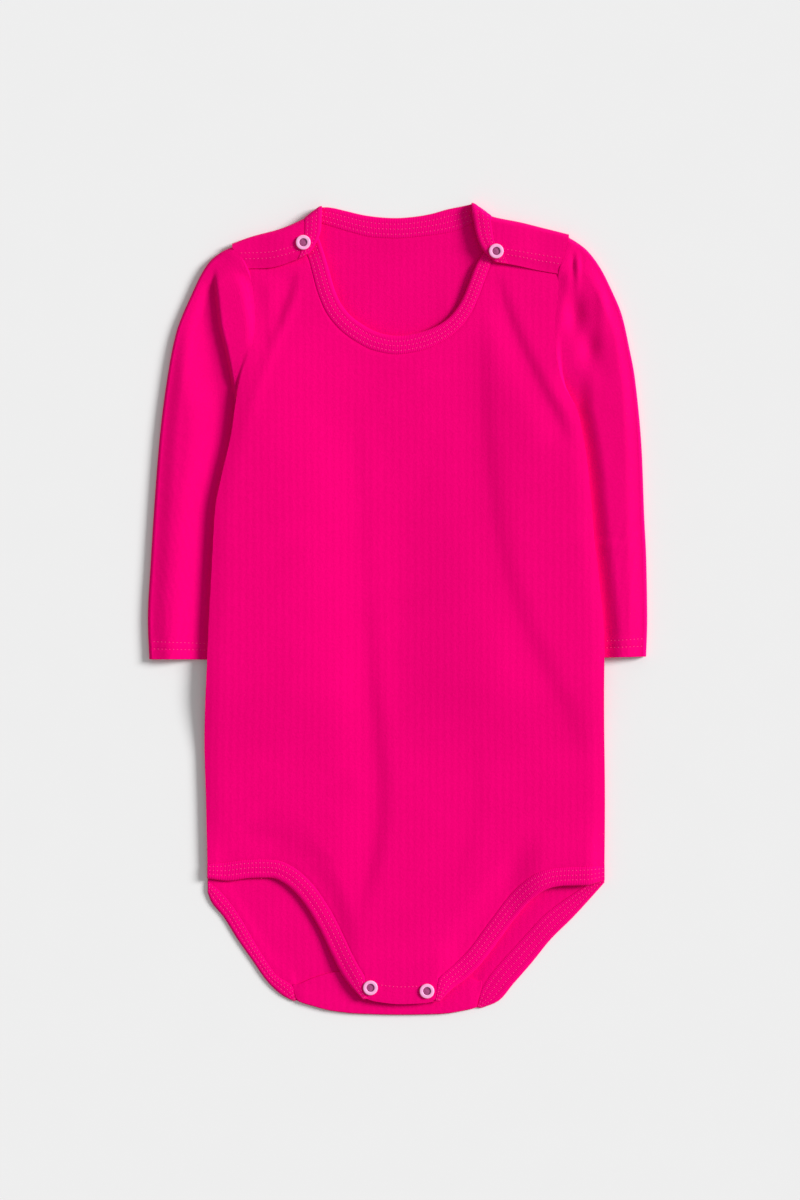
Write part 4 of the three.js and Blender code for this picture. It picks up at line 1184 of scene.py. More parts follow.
@dataclass
class Facing:
    """The strip on the inside of the back's crotch end."""

    left: float = -54.6
    right: float = 43.4
    inset: float = 0.4
    seat: float = 0.02
    half: float = 0.32
    half_at_ends: float = 0.06
    run_out: float = 5
    columns: int = 70
    rows: int = 16

    UPPER_EDGE = ((-52, -194.8), (-41.6, -190.5), (-31, -188.2), (0, -187.6), (30, -188.2), (41, -193))

    def points(self) -> np.ndarray:
        """The facing's middle surface."""
        upper = Through(self.UPPER_EDGE)
        x = np.linspace(self.left, self.right, self.columns)[None, :]
        y = mix(back_bottom(x) + self.inset, upper(x), np.linspace(0, 1, self.rows)[:, None])
        x = np.broadcast_to(x, y.shape)
        z = back_height(x, y) + HALF_CLOTH + self.seat + self.halves(x)
        return np.stack([x, y, z], axis=-1)

    def halves(self, x: np.ndarray) -> np.ndarray:
        """Half the strip's thickness, which runs out at both ends."""
        inwards = np.minimum(x - self.left, self.right - x)
        return mix(self.half_at_ends, self.half, ease(0, self.run_out, inwards))

    def build(self) -> bpy.types.Object:
        """Makes the facing's cloth."""
        cloth = Cloth()
        points = self.points()
        cloth.grid(points, points[..., :2], self.halves(points[..., 0]))
        return cloth.make("crotch_facing_strip")


class Hollow(NamedTuple):
    """A soft dimple in a sleeve's upper layer."""

    x: float
    y: float
    across: float
    along: float
    depth: float


RIGHT_HOLLOWS = (
    Hollow(92.0, 153, 5.0, 9, 2.2), Hollow(99.5, 136, 5.2, 8.5, 2.0), Hollow(106, 122, 4.5, 8, 0.3),
    Hollow(90.8, 181, 1.3, 9, 0.6), Hollow(95.2, 186, 1.3, 7, 0.6),
)
RIGHT_RIDGES = (
    Hollow(93.2, 182, 1.2, 11, -0.8), Hollow(106.5, 158, 3.6, 16, -0.7),
    Hollow(101.5, 180, 2.2, 7, -0.4), Hollow(112, 33.5, 12, 1.6, -0.35),
    Hollow(121, 38.5, 9, 1.6, -0.35), Hollow(112, 37.5, 12, 1.8, 0.3),
)

# Heights of the sleeves' upper layers, and where they pass into each other
CREASE_LEVEL = 1.55
CREASE_ASIDE = 0.5
CREASE_BEGIN = (UNDERARM_LEFT - 12, UNDERARM_LEFT + 8)
CREASE_INSIDE = (-0.2, 1.8)
CREASE_OUTSIDE = (4.5, 20)
CREASE_OUTSIDE_NEAR = (7.5, 27)
CREASE_NEAR_UP = 18
CREASE_NEAR_REACH = 34
TONGUE_RISE = 1.3
ARM_LEVEL = 3.7
ARM_LEVEL_UP = (UNDERARM_LEFT, UNDERARM_LEFT + 20)
RIGHT_ARM_LEVEL = 4.1
RIGHT_ARM_LEVEL_UP = (UNDERARM_RIGHT + 1, UNDERARM_RIGHT + 22)
OUTER_LEVEL = 4.2
OUTER_REACH = 9
CAP_LEVEL = 4.3
CAP_LEVEL_UP = (166, 179)
CUFF_LEVEL = 2.9
FLAP_SEAM_LEVEL = FLAP_ARM - 0.05
FLAP_SEAM_UP = (170, 178)
SEAM_LEVELLING = 9.0


def hollow_depth(spots: Sequence[Hollow], x: np.ndarray, y: np.ndarray) -> np.ndarray:
    """Depth of a sleeve's dimples."""
    depth = np.zeros(np.broadcast(x, y).shape)
    for spot in spots:
        across = (x - spot.x) / spot.across
        along = (y - spot.y) / spot.along
        depth = depth + spot.depth * np.exp(-across * across - along * along)
    return depth


def sleeve_top_left(x: np.ndarray, y: np.ndarray) -> np.ndarray:
    """Upper layer of the left sleeve, with the crease beside the torso."""
    line = np.where(y > UNDERARM_LEFT, left_gutter(y), left_edge(y) - CREASE_ASIDE)
    outward = line - x
    inner = mix(TUCKED_TOP, ARM_LEVEL, ease(*ARM_LEVEL_UP, y))
    crease = mix(TUCKED_TOP, CREASE_LEVEL, ease(*CREASE_BEGIN, y))
    near = bell(y - UNDERARM_LEFT - CREASE_NEAR_UP, CREASE_NEAR_REACH)
    begin, end = (mix(*pair, near) for pair in zip(CREASE_OUTSIDE, CREASE_OUTSIDE_NEAR))
    outside = mix(crease, OUTER_LEVEL, ease(begin, end, outward))
    inside = mix(crease, inner + TONGUE_RISE, ease(*CREASE_INSIDE, -outward))
    z = np.where(outward > 0, outside, inside)
    return mix(z, CAP_LEVEL, ease(*CAP_LEVEL_UP, y))


def sleeve_top_right(x: np.ndarray, y: np.ndarray) -> np.ndarray:
    """Upper layer of the right sleeve, with the dimples of its cap."""
    outward = x - (right_edge(np.minimum(y, UNDERARM_RIGHT)) + CREASE_ASIDE)
    outside = mix(TUCKED_TOP, OUTER_LEVEL, ease(0, OUTER_REACH, outward))
    z = np.where(outward > 0, outside, TUCKED_TOP)
    above = mix(z, RIGHT_ARM_LEVEL, ease(*RIGHT_ARM_LEVEL_UP, y))
    return above - hollow_depth(RIGHT_HOLLOWS + RIGHT_RIDGES, x, y)


@dataclass
class Sleeve:
    """One sleeve, a flat tube that is open at the armhole and at the cuff."""

    side: Side
    outer: Curve
    inner: Curve
    edge: Curve
    gap: float
    top: Surface
    shoulder: float
    underarm: float
    cuff_drop: float
    rings: int = 120
    top_points: int = 111
    under_points: int = 31
    seam_ends: tuple[np.ndarray, np.ndarray] | None = None
    points: np.ndarray = field(init=False)
    flat: np.ndarray = field(init=False)
    halves: np.ndarray = field(init=False)

    LENGTH = 212.0
    SEAM_SHARES = (0, 0.0005, 0.002, 0.005, 0.01, 0.016)
    BARE_SHARES = (0.02, 0.004)
    HEM_FINE = 10.0
    HEM_STEP = 0.35
    HEM_ROWS = (4.2, 7.2)
    HEM_DEPTH = 7.8
    HEM_END = (-0.3, 0.5)
    HEM_EXTRA = 0.14
    ROW_DEPTH = 0.16
    ROW_WIDTH = 0.45
    ALLOWANCES = (4.0, 0.9)
    ALLOWANCE_RUNS = (5.0, 1.5)
    ALLOWANCE_HALF = 0.35
    ALLOWANCE_LOW = 0.95
    ALLOWANCE_SINK = 1.2
    INNER_ANGLES = (35, 70, 110, 145)
    OUTER_ANGLES = (20, 45, 70, 90, 110, 135, 160)
    INNER_REACH = 5
    CAP_SHARE = 0.25
    BOW_SHARE = 0.5
    BOW_POWER = 1.6

    def __post_init__(self) -> None:
        """Lays out all rings, first those of the seam allowance inside the torso."""
        hem = 1 - np.arange(0, self.HEM_FINE, self.HEM_STEP)[::-1] / self.LENGTH
        even = np.linspace(0, 1, self.rings)
        after, before = self.BARE_SHARES
        even = even[(even > after) & (even < hem[0] - before)]
        along = np.concatenate([self.SEAM_SHARES, even, hem])
        rings = [self.ring(value) for value in along]
        points = np.array([ring for ring, _ in rings])
        flat = np.array([flat for _, flat in rings])
        level = (1 - along)[:, None] * self.LENGTH
        hem_end = (self.HEM_DEPTH + step for step in self.HEM_END)
        hemmed = self.HEM_EXTRA * (1 - ease(*hem_end, level))
        rows = sum(self.ROW_DEPTH * bell(level - row, self.ROW_WIDTH) for row in self.HEM_ROWS)
        upper = np.arange(points.shape[1])[None, :] < self.top_points
        halves = HALF_CLOTH + np.where(upper, hemmed - rows, 0)
        inside = [self.allowance(points[0], reach) for reach in self.ALLOWANCES]
        inside_flat = [flat[0] + [0, run] for run in self.ALLOWANCE_RUNS]
        self.points = np.concatenate([inside, points])
        self.flat = np.concatenate([inside_flat, flat])
        thin = np.full((len(inside), points.shape[1]), self.ALLOWANCE_HALF)
        self.halves = np.concatenate([thin, halves])

    def allowance(self, first: np.ndarray, reach: float) -> np.ndarray:
        """A ring of the seam allowance, between the torso's two layers.

        Args:
            first: the ring at the armhole seam.
            reach: how far into the torso this ring lies.

        Returns:
            The ring's points.
        """
        ring = first.copy()
        ring[:, 0] -= self.side.sign * (reach + self.gap * self.side.sign)
        middle = (first[:, 2].max() + LOWEST) / 2
        highest = np.maximum(middle, first[:, 2] - self.ALLOWANCE_SINK)
        ring[:, 2] = np.clip(first[:, 2], LOWEST + self.ALLOWANCE_LOW, highest)
        return ring

    def hem_line(self, rise: float) -> np.ndarray:
        """A line on the upper layer's surface, above the cuff's edge."""
        points, _ = self.ring(1 - rise / self.LENGTH)
        top = points[: self.top_points].copy()
        top[:, 2] += HALF_CLOTH
        return top

    def ring(self, along: float) -> tuple[np.ndarray, np.ndarray]:
        """One section of the tube.

        Args:
            along: from 0 at the armhole to 1 at the cuff.

        Returns:
            The section's points, and where they lie on the flat cloth.
        """
        outer_y = mix(CUFF_END + self.cuff_drop, self.shoulder, sleeve_outer_share(along))
        inner_y = mix(CUFF_END, self.underarm, sleeve_inner_share(along))
        outer = np.array([float(self.outer(outer_y)), float(outer_y), 0.0])
        inner = np.array([float(self.inner(inner_y)), float(inner_y), 0.0])
        inward = unit(inner - outer)
        outer_top = mix(CUFF_LEVEL, CAP_LEVEL, (1 - min(1, along / self.CAP_SHARE)) ** 2)
        outer_radius = (outer_top - LOWEST) / 2
        inner_radius = (TUCKED_TOP - LOWEST) / 2
        outer = outer + inward * (outer_radius + HALF_CLOTH)
        inner = inner - inward * (inner_radius + HALF_CLOTH)
        length = float(np.linalg.norm(inner - outer))
        bow = max(0.0, 1 - along / self.BOW_SHARE) ** self.BOW_POWER
        s = 0.5 - 0.5 * np.cos(np.pi * np.linspace(0, 1, self.top_points))
        top = self.across(outer, inner, s, bow)
        near = 1 - ease(0, SEAM_LEVELLING, along * self.LENGTH)
        level = self.level(top, along * self.LENGTH, near)
        open_top = mix(mix(outer_top, FLAP_SEAM_LEVEL, near), level, ease(0, OUTER_REACH, s * length))
        top[:, 2] = mix(open_top, TUCKED_TOP, 1 - ease(0, self.INNER_REACH, (1 - s) * length))
        under_s = 0.5 + 0.5 * np.cos(np.pi * np.linspace(0, 1, self.under_points))
        under = self.across(outer, inner, under_s, bow)
        under[:, 2] = LOWEST
        outer_end, inner_end = self.across(outer, inner, np.array([0.0, 1.0]), bow)
        inner_arc = self.arc(inner_end, inward, inner_radius, self.INNER_ANGLES)
        outer_arc = self.arc(outer_end, -inward, outer_radius, self.OUTER_ANGLES, -1)
        points = np.concatenate([top, inner_arc, under, outer_arc])
        flat_x = np.concatenate([
            s * length, np.full(len(inner_arc), length), under_s * length, np.zeros(len(outer_arc)),
        ])
        flat_y = np.full(len(flat_x), mix(outer_y, inner_y, 0.5))
        return points, np.stack([flat_x, flat_y], axis=-1)

    def level(self, top: np.ndarray, run: float, near: float) -> np.ndarray:
        """Height of the upper layer, which meets the torso's own at the armhole.

        Args:
            top: the section's places.
            run: distance from the armhole.
            near: 1 at the armhole and 0 further off.

        Returns:
            The height at each place.
        """
        x, y = top[:, 0], top[:, 1]
        front_edge = front_looks(self.edge(y), y) + SEAM_DIP
        seam = mix(front_edge, FLAP_SEAM_LEVEL, ease(*FLAP_SEAM_UP, y))
        return mix(self.top(x, y), seam, near) - SEAM_DIP * bell(run, ARMHOLE_REACH)

    @staticmethod
    def arc(
        end: np.ndarray, outward: np.ndarray, radius: float, angles: Sequence[float], way: int = 1
    ) -> np.ndarray:
        """Points round a section's end, downwards, or upwards where way is -1."""
        turn = np.radians(angles)[:, None]
        points = end + outward * radius * np.sin(turn)
        points[:, 2] = LOWEST + radius * (1 + way * np.cos(turn[:, 0]))
        return points

    def across(self, outer: np.ndarray, inner: np.ndarray, s: np.ndarray, bow: float) -> np.ndarray:
        """Points between the ends of a section, bowed with the armhole near it."""
        points = mix(outer, inner, s[:, None])
        if self.seam_ends is None:
            self.seam_ends = (outer, inner)
        straight = mix(self.seam_ends[0], self.seam_ends[1], s[:, None])
        armhole = self.edge(straight[:, 1]) + self.gap
        points[:, 0] += (armhole - straight[:, 0]) * bow
        return points

    def build(self) -> bpy.types.Object:
        """Makes the sleeve's cloth."""
        cloth = Cloth()
        cloth.grid(self.points, self.flat, self.halves, closed=True)
        return cloth.make(f"sleeve_{self.side.value}_cloth")


def sleeves() -> tuple[Sleeve, Sleeve]:
    """Both sleeves."""
    left = Sleeve(
        Side.LEFT, Through(SLEEVE_LEFT_OUTER), left_inner, left_edge, -ARMHOLE_GAP,
        sleeve_top_left, shoulder=188.8, underarm=105, cuff_drop=0.2,
    )
    right = Sleeve(
        Side.RIGHT, Through(SLEEVE_RIGHT_OUTER), right_inner, right_edge, ARMHOLE_GAP,
        sleeve_top_right, shoulder=193.4, underarm=103, cuff_drop=1.6,
    )
    return left, right


def stations(line: np.ndarray, pitch: float) -> list[tuple[np.ndarray, np.ndarray]]:
    """Evenly spaced places along a line, each with the direction there."""
    step = np.linalg.norm(np.diff(line, axis=0), axis=1)
    run = np.concatenate([[0], np.cumsum(step)])
    count = max(1, int(run[-1] / pitch))
    wanted = (np.arange(count) + 0.5) * run[-1] / count
    near = 0.3 * pitch
    behind, places, ahead = (
        np.stack([np.interp(wanted + shift, run, line[:, k]) for k in range(3)], axis=-1)
        for shift in (-near, 0, near)
    )
    return list(zip(places, unit(ahead - behind)))


@dataclass
class Thread:
    """Sewing thread that is joined into one piece."""

    name: str
    radius: float = 0.145
    sides: int = 6
    pitch: float = 2.0
    gap: float = 0.9
    arch: tuple[float, ...] = (-0.25, 0.02, 0.06, 0.02, -0.25)
    points: list[np.ndarray] = field(default_factory=list)
    faces: list[list[int]] = field(default_factory=list)
    count: int = 0

    def lay(self, path: np.ndarray) -> None:
        """Adds one length of thread, a closed tube that is thinner at both ends.

        Args:
            path: its centreline.
        """
        along = unit(np.gradient(path, axis=0))
        across = unit(np.cross(along, UP))
        over = np.cross(across, along)
        size = np.full(len(path), self.radius)
        size[[0, -1]] = self.radius / 3
        turn = np.linspace(0, 2 * np.pi, self.sides, endpoint=False)
        ring = across[:, None] * np.cos(turn)[:, None] + over[:, None] * np.sin(turn)[:, None]
        self.points.append((path[:, None] + ring * size[:, None, None]).reshape(-1, 3))
        ids = np.arange(len(path) * self.sides).reshape(-1, self.sides) + self.count
        after = np.roll(ids, -1, 1)
        walls = np.stack([ids[:-1], ids[1:], after[1:], after[:-1]], axis=-1).reshape(-1, 4)
        self.faces += [*walls.tolist(), ids[0].tolist(), ids[-1][::-1].tolist()]
        self.count += ids.size

    def row(self, line: np.ndarray) -> None:
        """Sews a row of plain stitches along a line that lies on the cloth."""
        half = (self.pitch - self.gap) / 2
        offset = np.linspace(-1, 1, len(self.arch))[:, None]
        lift = np.array(self.arch)[:, None]
        for centre, along in stations(line, self.pitch):
            self.lay(centre + along * offset * half + UP * lift)

    def build(self) -> bpy.types.Object:
        """Makes the thread's mesh."""
        return mesh_object(self.name, np.concatenate(self.points), self.faces)


class SnapPlace(NamedTuple):
    """Where a snap sits, with the lower face of its ring."""

    name: str
    side: Side
    x: float
    y: float
    z: float

    def part(self, part: str) -> str:
        """Name of one of the snap's parts."""
        return f"{self.name}_{part}_{self.side.value}"


SNAP_PLACES = (
    SnapPlace("shoulder_snap", Side.LEFT, -49.1, 190.2, 6.18),
    SnapPlace("shoulder_snap", Side.RIGHT, 50.9, 185.7, 6.18),
    SnapPlace("crotch_snap", Side.LEFT, -14.3, -196.1, 5.0),
    SnapPlace("crotch_snap", Side.RIGHT, 15.0, -197.8, 5.0),
)


def add_disc(radius: float, height: float, sides: int, both: bool) -> bpy.types.Object:
    """Adds a disc at the origin, open for editing with its flat faces selected.

    Args:
        radius: its radius in millimetres.
        height: its height, up from the origin.
        sides: how many sides it has.
        both: whether the lower face is selected too.

    Returns:
        The disc.
    """
    bpy.ops.object.select_all(action="DESELECT")
    bpy.ops.mesh.primitive_cylinder_add(
        vertices=sides, radius=radius * MM, depth=height * MM, location=(0, 0, height * MM / 2)
    )
    disc = bpy.context.active_object
    bpy.ops.object.transform_apply(location=True, rotation=True, scale=True)
    bpy.ops.object.mode_set(mode="EDIT")
    bpy.ops.mesh.select_mode(type="FACE")
    work = bmesh.from_edit_mesh(disc.data)
    for face in work.faces:
        steepness = abs(face.normal.z) if both else face.normal.z
        face.select_set(steepness > 0.9)
    work.select_flush_mode()
    bmesh.update_edit_mesh(disc.data)
    return disc


def settle(piece: bpy.types.Object, place: SnapPlace, part: str) -> bpy.types.Object:
    """Shades a snap's part smooth, moves it into its place and names it.

    Args:
        piece: the part, at the origin.
        place: the snap's place.
        part: what the part is called.

    Returns:
        The same object.
    """
    bpy.ops.object.shade_smooth()
    centre = Home.metres([place.x, place.y, place.z])
    piece.data.transform(Matrix.Translation(Vector(centre)))
    piece.name = place.part(part)
    return piece


@dataclass
class SnapRing:
    """The open ring of a snap, which shows on the outside."""

    place: SnapPlace
    outer: float = 3.8
    inner: float = 2.05
    height: float = 0.8
    round_share: float = 0.46
    sides: int = 48

    def build(self) -> bpy.types.Object:
        """Models the ring: a disc that is inset, opened and rounded."""
        ring = add_disc(self.outer, self.height, self.sides, both=True)
        bpy.ops.mesh.inset(thickness=(self.outer - self.inner) * MM)
        bpy.ops.mesh.delete(type="ONLY_FACE")
        bpy.ops.mesh.select_all(action="DESELECT")
        bpy.ops.mesh.select_mode(type="EDGE")
        bpy.ops.mesh.select_non_manifold()
        bpy.ops.mesh.bridge_edge_loops()
        bpy.ops.object.mode_set(mode="OBJECT")
        bevel = ring.modifiers.new("round", "BEVEL")
        bevel.width = self.height * self.round_share * MM
        bevel.segments = 4
        bevel.limit_method = "ANGLE"
        bevel.angle_limit = math.radians(50)
        bpy.ops.object.modifier_apply(modifier=bevel.name)
        return settle(ring, self.place, "washer")


@dataclass
class SnapCoreAndShade:
    """The small pressed dome that shows through a snap's ring, dark partly for the snap's metal and
    partly with painted shade of the ring's hole.
    """

    place: SnapPlace
    radius: float = 2.15
    height: float = 0.4
    insets: tuple[float, ...] = (0.35, 0.3, 0.2)
    sides: int = 32

    def build(self) -> bpy.types.Object:
        """Models the dome: a disc whose top is inset and raised."""
        dome = add_disc(self.radius, self.height / 2, self.sides, both=False)
        for share in self.insets:
            bpy.ops.mesh.inset(thickness=self.radius * share * MM)
            bpy.ops.transform.translate(value=(0, 0, self.height * share * 0.5 * MM))
        bpy.ops.object.mode_set(mode="OBJECT")
        return settle(dome, self.place, "core_and_shade")


class Value:
    """A shader socket that is worked with as a number."""

    def __init__(self, shading: Shading, socket: bpy.types.NodeSocket) -> None:
        """Keeps the socket and the nodes it is among."""
        self.shading = shading
        self.socket = socket

    def math(self, operation: str, *values: Value | float) -> Value:
        """The result of a Math node.

        Args:
            operation: the node's operation.
            values: its inputs in order.

        Returns:
            Its output.
        """
        node = self.shading.node("ShaderNodeMath", {"operation": operation}, dict(enumerate(values)))
        return Value(self.shading, node.outputs[0])

    def __add__(self, other: Value | float) -> Value:
        """self + other."""
        return self.math("ADD", self, other)

    def __radd__(self, other: float) -> Value:
        """other + self."""
        return self.math("ADD", other, self)

    def __sub__(self, other: Value | float) -> Value:
        """self - other."""
        return self.math("SUBTRACT", self, other)

    def __rsub__(self, other: float) -> Value:
        """other - self."""
        return self.math("SUBTRACT", other, self)

    def __mul__(self, other: Value | float) -> Value:
        """self * other."""
        return self.math("MULTIPLY", self, other)

    def __rmul__(self, other: float) -> Value:
        """other * self."""
        return self.math("MULTIPLY", other, self)

    def wave(self) -> Value:
        """0 to 1 and back once for each whole number."""
        return self.math("COSINE", self * math.tau) * -0.5 + 0.5

    def zigzag(self) -> Value:
        """0 at each whole number and 0.5 halfway, in straight lines."""
        return self.math("PINGPONG", self, 0.5)


class Shading:
    """The nodes of one material."""

    def __init__(self, name: str) -> None:
        """Starts an empty material."""
        self.material = bpy.data.materials.new(name)
        self.material.use_nodes = True
        self.tree = self.material.node_tree
        self.tree.nodes.clear()

    def node(
        self, kind: str, settings: dict | None = None, inputs: dict | None = None
    ) -> bpy.types.Node:
        """Makes a node.

        Args:
            kind: its type.
            settings: properties that are set first; "stops" are a ramp's, as place and colour.
            inputs: a value, a socket or a Value for each of its sockets, by name or number.

        Returns:
            The node.
        """
        node = self.tree.nodes.new(kind)
        for name, value in (settings or {}).items():
            if name == "stops":
                ramp = node.color_ramp
                for element, (place, colour) in zip(ramp.elements, value):
                    element.position = place
                    element.color = (*colour, 1)
            else:
                setattr(node, name, value)
        for name, value in (inputs or {}).items():
            socket = node.inputs[name]
            if isinstance(value, Value):
                self.tree.links.new(value.socket, socket)
            elif isinstance(value, bpy.types.NodeSocket):
                self.tree.links.new(value, socket)
            else:
                socket.default_value = value
        return node

    def number(self, node: bpy.types.Node, output: str | int = 0) -> Value:
        """One of a node's outputs, as a number."""
        return Value(self, node.outputs[output])

    def place(self) -> bpy.types.NodeSocket:
        """Places on the object itself, in metres."""
        return self.node("ShaderNodeTexCoord").outputs["Object"]

    def noise(self, vector: bpy.types.NodeSocket, scale: float, detail: float = 3) -> Value:
        """A soft noise from about 0.3 to 0.7."""
        node = self.node(
            "ShaderNodeTexNoise", {"noise_dimensions": "3D"},
            {"Vector": vector, "Scale": scale, "Detail": detail, "Roughness": 0.6},
        )
        return self.number(node, "Fac")

    def blend(self, share: Value, low: tuple, high: tuple) -> bpy.types.NodeSocket:
        """A colour between two others."""
        node = self.node(
            "ShaderNodeMix", {"data_type": "RGBA"}, {"Factor": share, 6: (*low, 1), 7: (*high, 1)}
        )
        return node.outputs[2]

    def bump(self, strength: float, depth: float, height: Value) -> bpy.types.NodeSocket:
        """A normal that follows small heights."""
        inputs = {"Strength": strength, "Distance": depth, "Height": height}
        return self.node("ShaderNodeBump", None, inputs).outputs[0]

    def surface(self, constants: dict, links: dict) -> bpy.types.Material:
        """Ends the material in one Principled shader.

        Args:
            constants: values of the shader's own sockets.
            links: sockets and Values for those that vary.

        Returns:
            The material.
        """
        shader = self.node("ShaderNodeBsdfPrincipled", None, {**constants, **links})
        self.node("ShaderNodeOutputMaterial", None, {"Surface": shader.outputs[0]})
        return self.material


@dataclass(frozen=True)
class Knit:
    """Fine cotton knit: columns of small V-shaped stitches, slightly mottled and matt."""

    name: str
    dark: tuple[float, float, float]
    light: tuple[float, float, float]
    column: float = 0.0006
    course: float = 0.00048
    depth: float = 0.0001
    strength: float = 0.7
    mottle: float = 800.0
    shade: float = 45.0
    shade_share: float = 0.4
    loop_share: float = 0.3
    darkening: float = 0.35
    fuzz: float = 1.6
    roughness: float = 0.82
    unevenness: float = 0.12

    def material(self) -> bpy.types.Material:
        """Makes the material."""
        shading = Shading(self.name)
        cloth = shading.node("ShaderNodeUVMap", {"uv_map": "cloth"}).outputs[0]
        parts = shading.node("ShaderNodeSeparateXYZ", None, {0: cloth})
        across = shading.number(parts, 0) * (1 / self.column)
        up = shading.number(parts, 1) * (1 / self.course)
        stitches = (up + across.zigzag()).wave()
        columns = across.wave()
        place = shading.place()
        fine = shading.noise(place, self.mottle, 4)
        broad = shading.noise(place, self.shade, 3)
        loops = columns * 0.6 + stitches * columns * 0.4
        share = fine + broad * self.shade_share + loops * self.loop_share - self.darkening
        bump = shading.bump(self.strength, self.depth, loops + fine * self.fuzz)
        rough = self.roughness + (fine - 0.5) * self.unevenness
        return shading.surface(
            {
                "Specular IOR Level": 0.3, "Specular Tint": (1.0, 0.02, 0.3, 1.0),
                "Sheen Weight": 0.1, "Sheen Roughness": 0.5, "Sheen Tint": (1.0, 0.05, 0.3, 1.0),
            },
            {
                "Base Color": shading.blend(share, self.dark, self.light), "Roughness": rough,
                "Normal": bump,
            },
        )


@dataclass(frozen=True)
class Grained:
    """A smooth finish with a fine grain, such as twisted thread or worn enamel."""

    name: str
    dark: tuple[float, float, float]
    light: tuple[float, float, float]
    grain: float
    detail: float
    contrast: float
    roughness: float
    unevenness: float
    strength: float
    depth: float

    def material(self) -> bpy.types.Material:
        """Makes the material."""
        shading = Shading(self.name)
        fine = shading.noise(shading.place(), self.grain, self.detail)
        share = fine * self.contrast - (self.contrast - 1) / 2
        return shading.surface(
            {"Specular IOR Level": 0.5},
            {
                "Base Color": shading.blend(share, self.dark, self.light),
                "Roughness": self.roughness + fine * self.unevenness,
                "Normal": shading.bump(self.strength, self.depth, fine),
            },
        )


@dataclass(frozen=True)
class Paper:
    """The plain pale floor."""

    name: str
    dark: tuple[float, float, float]
    light: tuple[float, float, float]
    grain: float = 30
    detail: float = 2
    specular: float = 0.1
    roughness: float = 0.9

    def material(self) -> bpy.types.Material:
        """Makes the material."""
        shading = Shading(self.name)
        fine = shading.noise(shading.place(), self.grain, self.detail)
        return shading.surface(
            {"Specular IOR Level": self.specular, "Roughness": self.roughness},
            {"Base Color": shading.blend(fine, self.dark, self.light)},
        )


KNIT = Knit("pink_knit", (0.76, 0.0, 0.142), (0.95, 0.0, 0.195))
BINDING = Knit("pink_binding", (0.75, 0.0, 0.145), (0.95, 0.0, 0.205), column=0.0009, course=0.0005)
THREAD = Grained(
    "pink_thread", (0.85, 0.006, 0.2), (1.0, 0.035, 0.3), grain=2500, detail=2, contrast=1.4,
    roughness=0.5, unevenness=0.2, strength=0.5, depth=0.00005,
)
ENAMEL = Grained(
    "snap_enamel", (0.86, 0.32, 0.6), (0.97, 0.48, 0.76), grain=900, detail=3, contrast=1.6,
    roughness=0.3, unevenness=0.15, strength=0.3, depth=0.00004,
)
# Dark mauve of the snaps' cores: partly the snap's metal, partly painted shade of the cloth in the
# rings' holes.
CORE_AND_SHADE = replace(ENAMEL, name="snap_core_and_shade", dark=(0.26, 0.03, 0.13), light=(0.42, 0.09, 0.24))
PAPER = Paper("pale_floor", (0.795, 0.795, 0.795), (0.805, 0.805, 0.805))


def photo_place(x: float, y: float) -> np.ndarray:
    """Where a pixel of the photograph lies, in millimetres."""
    return np.array([
        (x - PIXEL_AT_ORIGIN[0]) * MM_PER_PIXEL, (PIXEL_AT_ORIGIN[1] - y) * MM_PER_PIXEL, 0.0,
    ])


@dataclass
class Studio:
    """Floor, light and the camera, which looks straight down."""

    height: float = 1.7
    sensor: float = 36.0
    floor_size: float = 6.0
    key_strength: float = 4.5
    key_azimuth: float = 20.0
    key_elevation: float = 27.0
    key_softness: float = 20.0
    fill: float = 0.42

    def build(self) -> None:
        """Sets the scene."""
        self.add_floor()
        self.add_camera()
        self.add_key()
        self.add_backdrop()
        bpy.context.scene.view_settings.view_transform = "Standard"

    def add_floor(self) -> None:
        """Lays the floor under the garment."""
        half = self.floor_size / 2
        corners = np.array([[-half, -half, 0], [half, -half, 0], [half, half, 0], [-half, half, 0]])
        floor = mesh_object("floor", corners / MM - Home.shift, [[0, 1, 2, 3]])
        floor.data.materials.append(PAPER.material())

    def add_camera(self) -> None:
        """Looks down at the middle of the photograph, whose height fills the view."""
        centre = Home.metres(photo_place(PHOTO_WIDTH / 2, PHOTO_HEIGHT / 2))
        camera = bpy.data.objects.new("camera", bpy.data.cameras.new("camera"))
        bpy.context.scene.collection.objects.link(camera)
        camera.location = (centre[0], centre[1], self.height)
        camera.data.sensor_width = self.sensor
        camera.data.lens = self.sensor * self.height / (PHOTO_HEIGHT * MM_PER_PIXEL * MM)
        bpy.context.scene.camera = camera

    def add_key(self) -> None:
        """Lights the garment softly from the left, low over the floor."""
        light = bpy.data.lights.new("key", "SUN")
        light.energy = self.key_strength
        light.angle = math.radians(self.key_softness)
        key = bpy.data.objects.new("key", light)
        bpy.context.scene.collection.objects.link(key)
        azimuth, elevation = math.radians(self.key_azimuth), math.radians(self.key_elevation)
        toward = Vector((
            -math.cos(azimuth) * math.cos(elevation), -math.sin(azimuth) * math.cos(elevation),
            -math.sin(elevation),
        ))
        key.rotation_euler = toward.to_track_quat("-Z", "Y").to_euler()

    def add_backdrop(self) -> None:
        """Fills the shadows with even white light from all round."""
        world = bpy.data.worlds.new("studio")
        world.use_nodes = True
        backdrop = world.node_tree.nodes["Background"]
        backdrop.inputs["Color"].default_value = (1, 1, 1, 1)
        backdrop.inputs["Strength"].default_value = self.fill
        bpy.context.scene.world = world


STITCH_SHARES = (0.2, 0.45, 0.7)
HEM_LINE_ENDS = slice(4, -4)
FLAP_ROWS = (5.0, 8.0)
CROTCH_ROW = 9.0


